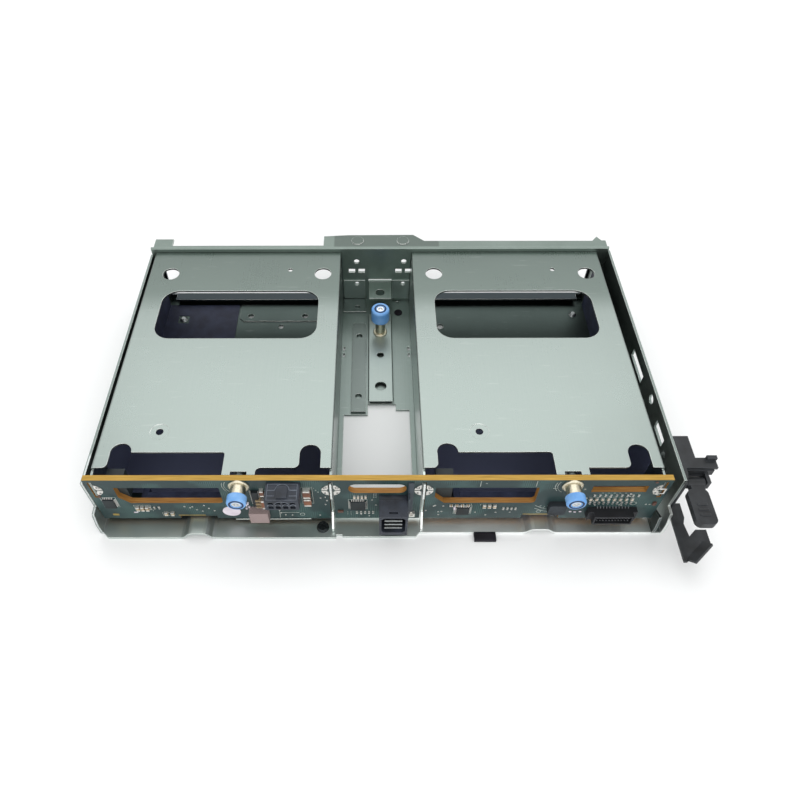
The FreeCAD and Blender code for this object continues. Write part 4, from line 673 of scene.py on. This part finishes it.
# %% Leads along the circuits' sides
PITCH, END_ROOM, BARE_SIDE = 0.8 * MM, 0.8 * MM, 4 * MM  # a side shorter than the last has none
lead_places, lead_turns = [], []
for low, high in chip_boxes("logic_chips"):
    middle = (low + high) / 2
    for axis, sides in ((0, ((high.x, 0.0), (low.x, math.pi))),
                        (2, ((high.z, -math.pi / 2), (low.z, math.pi / 2)))):
        run = high[2 - axis] - low[2 - axis]
        if run < BARE_SIDE:
            continue
        count = int((run - END_ROOM) / PITCH) + 1
        for side, angle in sides:
            for step in range(count):
                spot = Vector((0, 0, 0))
                spot[axis] = side
                spot[2 - axis] = middle[2 - axis] + (step - (count - 1) / 2) * PITCH
                lead_places.append(spot)
                lead_turns.append((0, angle, 0))
grow("circuit_leads", lead_tree, {"Reach": 0.9 * MM, "Shoulder": 0.6 * MM}, TIN,
     lead_places, marks={"turn": lead_turns})

# %% [markdown]
# **Header tails.** The pin header is soldered along its top, where a row of tails comes out of
# the body and lies down on the pads. They are the circuit leads again, longer and wider.

# %% Tails above the pin header
TAILS, FIRST_TAIL, TAIL_PITCH, TAIL_DROP = 11, 4.2, 1.44, 0.2
low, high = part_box("pin_connector")
tails = [Vector((low[0] + (FIRST_TAIL + TAIL_PITCH * step) * MM, 0, high[2] - TAIL_DROP * MM))
         for step in range(TAILS)]
grow("header_tails", lead_tree, {"Reach": 1.3 * MM, "Shoulder": 0.9 * MM, "Lead width": 0.4 * MM},
     DIM_TIN, tails, marks={"turn": [(0, -math.pi / 2, 0)] * TAILS})

# %% [markdown]
# **Printed lines.** White ink is screen printed on the mask: outlines round parts, ticks for
# polarity, rings round screws. No letters are drawn. Each line is a chain of edges; the tree
# sweeps a four-sided profile along it and presses it flat against the board.

# %% Printed line tree
line_tree, start = new_tree("flat_lines", {"Line width": 0.3 * MM, "Flatness": 0.25})
chain = add(line_tree, "GeometryNodeMeshToCurve", links={"Mesh": start["Geometry"]})
half = add(line_tree, "ShaderNodeMath", {"operation": "MULTIPLY", 1: 0.5},
           {0: start["Line width"]})
profile = add(line_tree, "GeometryNodeCurvePrimitiveCircle", {"Resolution": 4},
              {"Radius": half.outputs[0]})
swept = add(line_tree, "GeometryNodeCurveToMesh", {"Fill Caps": True},
            {"Curve": chain.outputs[0], "Profile Curve": profile.outputs[0]})
press = add(line_tree, "ShaderNodeCombineXYZ", {"X": 1.0, "Z": 1.0}, {"Y": start["Flatness"]})
flat = add(line_tree, "GeometryNodeTransform",
           links={"Geometry": swept.outputs[0], "Scale": press.outputs[0]})
close_tree(line_tree, start, flat.outputs[0])


# %% A drawing of chains
class Drawing:
    """Chains of points in a plane, given as (x, z) in millimetres."""

    def __init__(self):
        self.points, self.edges = [], []

    def chain(self, *spots, closed=False):
        first = len(self.points)
        self.points += [(x * MM, 0, z * MM) for x, z in spots]
        last = len(self.points) - 1
        self.edges += [(i, i + 1) for i in range(first, last)]
        if closed:
            self.edges.append((last, first))

    def frame(self, x0, z0, x1, z1):
        self.chain((x0, z0), (x1, z0), (x1, z1), (x0, z1), closed=True)

    def arc(self, x, z, radius, start, end):
        steps = max(4, int(abs(end - start) / 15))  # at most some 15 degrees each
        angles = [math.radians(start + (end - start) * i / steps) for i in range(steps + 1)]
        self.chain(*[(x + radius * math.cos(a), z + radius * math.sin(a)) for a in angles])


# %% Where the ink runs
LEFT_SCREW, RIGHT_SCREW, SCREW_HEIGHT = -61.9, 86.9, 33.6
TICK, DASH = 0.9, 0.8
ink = Drawing()
for x0, z0, x1, z1 in [(-113.4, 12.5, -105.8, 16.8), (-101.6, 6.9, -97.6, 9.9),
                       (-34.4, 18.2, -29.4, 32.6), (-13.3, 13.2, -4.7, 21.8),
                       (35.9, 8.6, 44.1, 16.2), (-127.0, 15.2, -120.0, 23.8)]:
    ink.frame(x0, z0, x1, z1)
for x in (45.9, 70.7):
    ink.chain((x, 37.6), (x, 33.0))
ink.chain((48.0, 35.6), (48.0 + TICK, 35.6))
ink.chain((78.7, 31.4), (80.6, 31.4))
for x, z in [(-109.6, 11.6), (-108.9, 10.8), (-107.2, 12.9), (-106.2, 12.2), (-105.4, 11.4),
             (-28.6, 31.0), (-27.8, 29.4), (-26.8, 28.0), (-13.9, 9.8), (-12.4, 9.8), (-13.9, 8.0),
             (-12.4, 8.0), (-1.6, 26.2), (-0.6, 26.2), (-1.6, 24.8), (-0.6, 24.8), (-1.6, 23.4),
             (-0.6, 23.4), (39.8, 16.9), (43.6, 16.9), (48.0, 16.4), (52.2, 16.4)]:
    ink.chain((x, z), (x, z + TICK))
ink.chain((-46.0, 13.2), (-46.2, 5.2))
ink.chain((-46.0, 9.8), (-36.8, 9.8))
ink.arc(-35.4, 8.2, 1.1, 0, 360)
ink.arc(75.9, 10.8, 1.0, 0, 360)
ink.arc(118.4, 18.1, 1.3, 0, 360)
for screw in (LEFT_SCREW, RIGHT_SCREW):
    ink.arc(screw, SCREW_HEIGHT, 6.6, 150, 235)
    ink.arc(screw, SCREW_HEIGHT, 7.6, 160, 215)
for radius, start_angle, end_angle in [(22, 232, 262), (24, 236, 272), (19.5, 246, 276)]:
    ink.arc(RIGHT_SCREW, SCREW_HEIGHT, radius, start_angle, end_angle)
for angle in range(238, 272, 6):
    across, up = math.cos(math.radians(angle)), math.sin(math.radians(angle))
    ink.chain(*[(RIGHT_SCREW + r * across, SCREW_HEIGHT + r * up) for r in (20.2, 21.4)])
for x, z in [(101.6, 27.3), (104.3, 27.3), (106.9, 27.3), (109.4, 27.3), (112.0, 27.3),
             (100.4, 20.6), (104.0, 20.6), (108.9, 20.6), (113.6, 20.6), (116.2, 23.9)]:
    ink.chain((x, z), (x + DASH, z))
print(len(ink.points), "points of ink")

# %% [markdown]
# **Screen ink** is pressed through a mesh onto the finished mask, so it is matt, slightly grey
# and a few hundredths of a millimetre proud. All of it is printed at once, so the whole drawing
# is one piece.

# %% Screen print
INK = moulded("screen_ink_white", "#a9b3ad", "#d3dad3", 0.7, grain_mm=0.2, worn=0.0)
grow("board_print", line_tree, {"Line width": 0.34 * MM, "Flatness": 0.25}, INK,
     ink.points, ink.edges)

# %% [markdown]
# **Plated holes.** A ring of bare tin stands round every hole that joins the board's layers. One
# ring is a small loop of thin wire. The copies are scattered over the free areas of the board
# with a fixed seed, since the real holes follow no grid either.

# %% Plated hole tree
ring_tree, start = new_tree("hole_rings", {"Density": 9000.0, "Seed": 4,
                                           "Ring radius": 0.35 * MM, "Wire": 0.1 * MM})
spots = add(ring_tree, "GeometryNodeDistributePointsOnFaces", {"distribute_method": "RANDOM"},
            {"Mesh": start["Geometry"], "Density": start["Density"], "Seed": start["Seed"]})
loop = add(ring_tree, "GeometryNodeCurvePrimitiveCircle", {"Resolution": 8},
           {"Radius": start["Ring radius"]})
wire = add(ring_tree, "GeometryNodeCurvePrimitiveCircle", {"Resolution": 4},
           {"Radius": start["Wire"]})
ring = add(ring_tree, "GeometryNodeCurveToMesh",
           links={"Curve": loop.outputs[0], "Profile Curve": wire.outputs[0]})
facing = add(ring_tree, "GeometryNodeTransform", {"Rotation": (math.radians(90), 0, 0)},
             {"Geometry": ring.outputs[0]})
copies = add(ring_tree, "GeometryNodeInstanceOnPoints",
             links={"Points": spots.outputs["Points"], "Instance": facing.outputs[0]})
close_tree(ring_tree, start, copies.outputs[0])

# %% Rings on the free areas
FREE = [(-96, 9.5, -76, 17.5), (-49, 6, -36, 12), (-28, 7, -22, 24),
        (-15, 6, 0, 9), (-3, 11, 0, 22), (22, 6, 34, 17), (46, 7, 66, 12), (92, 17, 96, 34),
        (98, 16, 119, 27.5), (124, 8, 129, 22)]
corners, squares = [], []
for x0, z0, x1, z1 in FREE:
    squares.append(tuple(range(len(corners), len(corners) + 4)))
    corners += [(x * MM, 0, z * MM) for x, z in ((x0, z0), (x1, z0), (x1, z1), (x0, z1))]
grow("plated_hole_rings", ring_tree, {"Density": 50000.0, "Seed": 11}, TIN,
     corners, faces=squares)

# %% [markdown]
# **Odd parts on the board.** Three thin gold strips where the mask stops, some small brown and
# pale parts, the bands of a tan winding by the left screw, and a square earth contact at the
# right end. All but the contact are the tapered block again, each with its own size. Each row
# below is x and z of the middle, then the width, how far it stands out, and the height, in mm.

# %% Strips and odd parts
def blocks(name, finish, rows):
    """Tapered blocks that stand on the board face, one for each row."""
    grow(name, end_tree, {"Taper": BLOCK_TAPER}, finish,
         [Vector((x * MM, 0, z * MM)) for x, z, *_ in rows],
         marks={"size": [Vector((w * MM, out * MM, h * MM)) for _, _, w, out, h in rows]})


RUST = moulded("glazed_body_rust", "#4d3228", "#6b4a3c", 0.45, grain_mm=0.2)
blocks("mask_gaps", GOLD,
       [(-124.0, 8.0, 3.0, 0.05, 1.6), (-88.0, 7.4, 13.0, 0.05, 0.6),
        (75.2, 8.2, 12.6, 0.05, 0.5)])
blocks("small_brown_parts", RUST,
       [(-17.2, 11.6, 2.8, 0.8, 1.3), (127.8, 18.6, 1.6, 0.9, 2.6), (-126.6, 25.2, 0.8, 0.6, 2.2),
        (123.4, 36.6, 1.4, 0.4, 0.7), (-52.6, 26.2, 1.5, 1.0, 1.1)])
blocks("small_pale_parts", PAPER,
       [(-60.7, 20.4, 0.7, 0.8, 1.2), (-59.8, 19.0, 0.8, 0.8, 1.2), (-60.6, 17.4, 0.7, 0.8, 1.2),
        (-59.6, 15.8, 0.8, 0.8, 1.2), (-61.0, 14.2, 1.0, 0.6, 0.8), (-59.2, 13.2, 1.0, 0.6, 0.8),
        (36.0, 14.4, 0.9, 0.8, 1.9), (-113.9, 10.4, 2.0, 0.3, 0.7), (90.8, 10.8, 1.2, 0.3, 0.6),
        (93.0, 10.4, 1.2, 0.3, 0.6), (95.4, 10.8, 1.2, 0.3, 0.6)])
blocks("tan_winding_bands", CERAMIC,
       [(-54.3, z, 2.8, 2.5, 0.55) for z in (24.0, 21.2, 18.6)])

# %% Earth contact
contact = Drawing()
contact.frame(125.0, 26.8, 129.4, 30.8)
grow("earth_contact", line_tree, {"Line width": 1.1 * MM, "Flatness": 0.5}, TIN,
     contact.points, contact.edges)

# %% [markdown]
# **Pierced pads.** Each earth pad is pierced, which shows as a dark ring on its face: a wide one
# on the upper pads, little more than a dot on the lower ones. Rings are drawn on the board's
# plane and then moved out to the faces of the pads, which stand proud of it.

# %% Rings and dots on the earth pads
UPPER_PADS, WIDE_RING, DOT = 30, 0.75, 0.3
PAD_PROUD = 0.3 * MM
pierced = Drawing()
for low, high in chip_boxes("ground_pads"):
    x, z = (low.x + high.x) / 2 / MM, (low.z + high.z) / 2 / MM
    pierced.arc(x, z, WIDE_RING if z > UPPER_PADS else DOT, 0, 360)
for vertex in grow("earth_pad_rings", line_tree, {"Line width": 0.3 * MM, "Flatness": 0.3}, CHIP,
                   pierced.points, pierced.edges).data.vertices:
    vertex.co.y -= PAD_PROUD

# %% [markdown]
# ** Power socket trim.** Arched ribs frame the mouths on the socket's front face, a wider one
# stands over its latch, and low ribs surround the latch on its top face. They are swept lines
# in a paler finish, which is a painted highlight along the ribs. The socket's faces don't lie on
# the board, so the front ribs are moved out to their face, and the top ones are laid down flat
# below the socket's upper edge.

# %% Arches on the power socket
# Painted highlight: the ribs are painted paler than the socket.
RIB_HIGHLIGHT = moulded("polyamide_rib_highlight", "#565c66", "#7c848f", 0.4, grain_mm=0.3)
MOUTHS, MOUTH_RADIUS, MOUTH_DROP = (0.17, 0.39, 0.61, 0.83), 1.25, 4.6
LATCH_ARCH, LATCH_DROP = 3.4, 4.4
low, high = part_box("power_connector")
left, right, top = low[0] / MM, high[0] / MM, high[2] / MM
width = right - left
arches = Drawing()
for share in MOUTHS:
    arches.arc(left + width * share, top - MOUTH_DROP, MOUTH_RADIUS, 0, 180)
arches.arc(left + width / 2, top - LATCH_DROP, LATCH_ARCH, 25, 155)
for vertex in grow("power_socket_arches", line_tree, {"Line width": 0.45 * MM, "Flatness": 0.6},
                   RIB_HIGHLIGHT, arches.points, arches.edges).data.vertices:
    vertex.co.y += low[1]

# %% Ribs round the latch, on the socket's top face
SUNK, RIM, RIB_RUN, FRONT_RIB, REAR_RIB, RIB_ARCH = 0.9, 0.9, 3.4, 3.0, 4.0, 3.1
depth = (high[1] - low[1]) / MM
ribs = Drawing()
ribs.frame(left + RIM, RIM, right - RIM, depth - RIM)
ribs.arc(left + width / 2, depth - REAR_RIB, RIB_ARCH, 0, 180)
for x in (left + RIM, right - RIM - RIB_RUN):
    for back in (depth - REAR_RIB, FRONT_RIB):
        ribs.chain((x, back), (x + RIB_RUN, back))
for vertex in grow("power_latch_ribs", line_tree, {"Line width": 0.4 * MM, "Flatness": 0.6},
                   RIB_HIGHLIGHT, ribs.points, ribs.edges).data.vertices:
    x, out, along = vertex.co
    vertex.co = (x, low[1] + along, high[2] - SUNK * MM - out)

# %% [markdown]
# ** Folded lip.** Below the left bay's board the tray's floor is folded up a little, so that a
# thin edge of sheet shows along the bottom of the board; its near-white finish is a painted
# highlight. It is one swept line, 0.5 mm thick, moved just clear of the board face.

# %% Lip under the left bay's board
LIP_PROUD = 0.3 * MM
lip = Drawing()
lip.chain((-67.6, 4.1), (-58, 4.2), (-46, 4.2), (-31.6, 4.4))
# Painted highlight: the lip is near white, brighter than the tray's sheet.
LIP_HIGHLIGHT_STEEL = plated("zinc_lip_highlight", "#c4cbc6", "#e6ebe6", 0.4)
for vertex in grow("tray_lip", line_tree, {"Line width": 0.5 * MM, "Flatness": 1.0}, LIP_HIGHLIGHT_STEEL,
                   lip.points, lip.edges).data.vertices:
    vertex.co.y -= LIP_PROUD


# %% [markdown]
# The studio is a pale floor under two softboxes. A broad one hangs behind the object, where its
# mirror image lights the front of the covers and fades towards their rear. The other, in front,
# fills the board and the apron.

# %% Softboxes
def softbox(name, place, aim, size, power):
    lamp = bpy.data.lights.new(name, "AREA")
    lamp.shape = "RECTANGLE"
    lamp.size, lamp.size_y = size
    lamp.energy = power
    holder = bpy.data.objects.new(name, lamp)
    holder.location = place
    holder.rotation_euler = (Vector(aim) - Vector(place)).to_track_quat("-Z", "Y").to_euler()
    bpy.context.scene.collection.objects.link(holder)


softbox("overhead", (0.0, 0.57, 0.8), (0, 0.05, 0), (1.1, 0.46), 2.1)
softbox("front_fill", (0.1, -0.8, 0.45), (0, 0, 0.02), (1.5, 0.9), 4.8)
print("softboxes:", [lamp.name for lamp in bpy.data.lights])

# %% [markdown]
# The world is plain white to the eye and to mirrors. As a light it is brighter overhead than
# near the horizon, which keeps the upright faces darker than the flat ones.

# %% World
world = bpy.data.worlds.new("studio_white")
world.use_nodes = True
bpy.context.scene.world = world
tree = world.node_tree
rays = add(tree, "ShaderNodeLightPath").outputs
seen = add(tree, "ShaderNodeMath", {"operation": "MAXIMUM"},
           {0: rays["Is Camera Ray"], 1: rays["Is Transmission Ray"]})
seen = add(tree, "ShaderNodeMath", {"operation": "MAXIMUM"},
           {0: seen.outputs[0], 1: rays["Is Glossy Ray"]})
direction = add(tree, "ShaderNodeTexCoord").outputs["Generated"]
height = add(tree, "ShaderNodeSeparateXYZ", links={0: direction}).outputs["Z"]
sky = add(tree, "ShaderNodeMapRange",
          {"From Min": 0.2, "From Max": 0.95, "To Min": 0.6, "To Max": 1.2}, {"Value": height})
strength = add(tree, "ShaderNodeMix", {3: 1.0}, {0: seen.outputs[0], 2: sky.outputs[0]})
tree.links.new(strength.outputs[0], tree.nodes["Background"].inputs["Strength"])
tree.nodes["Background"].inputs["Color"].default_value = (1, 1, 1, 1)
print("world made")

# %% Floor
REACH = 3.0  # metres from the middle to each side, far beyond the view
floor_mesh = bpy.data.meshes.new("studio_floor")
floor_mesh.from_pydata([(-REACH, -REACH, 0), (REACH, -REACH, 0), (REACH, REACH, 0),
                        (-REACH, REACH, 0)], [], [(0, 1, 2, 3)])
floor = bpy.data.objects.new("studio_floor", floor_mesh)
bpy.context.scene.collection.objects.link(floor)
paper, tree, shader, place = start_material("pale_paper", 0.0, 0.9)
shader.inputs["Base Color"].default_value = colour("#f2f3f3")
floor_mesh.materials.append(paper)
print("floor", 2 * REACH, "m wide")

# %% [markdown]
# The camera looks steeply down from in front of the board. Its lens is shifted sideways, and it
# is turned and rolled back by a third of a degree, which squares up the cage's front edge.

# %% Camera
TILT, TURN = 51.4, 0.34
camera_data = bpy.data.cameras.new("camera")
camera_data.lens = 30.7
camera_data.sensor_width = 36.0
camera_data.shift_x = 0.036
camera = bpy.data.objects.new("camera", camera_data)
camera.location = (-1.6 * MM, -159.6 * MM, 294.9 * MM)
camera.rotation_euler = Euler((math.radians(90 - TILT), 0, math.radians(TURN)))
camera.rotation_euler.rotate_axis("Z", math.radians(-TURN))
bpy.context.scene.collection.objects.link(camera)
bpy.context.scene.camera = camera
bpy.context.scene.view_settings.view_transform = "Standard"
print("camera at", [round(v / MM, 1) for v in camera.location], "mm")
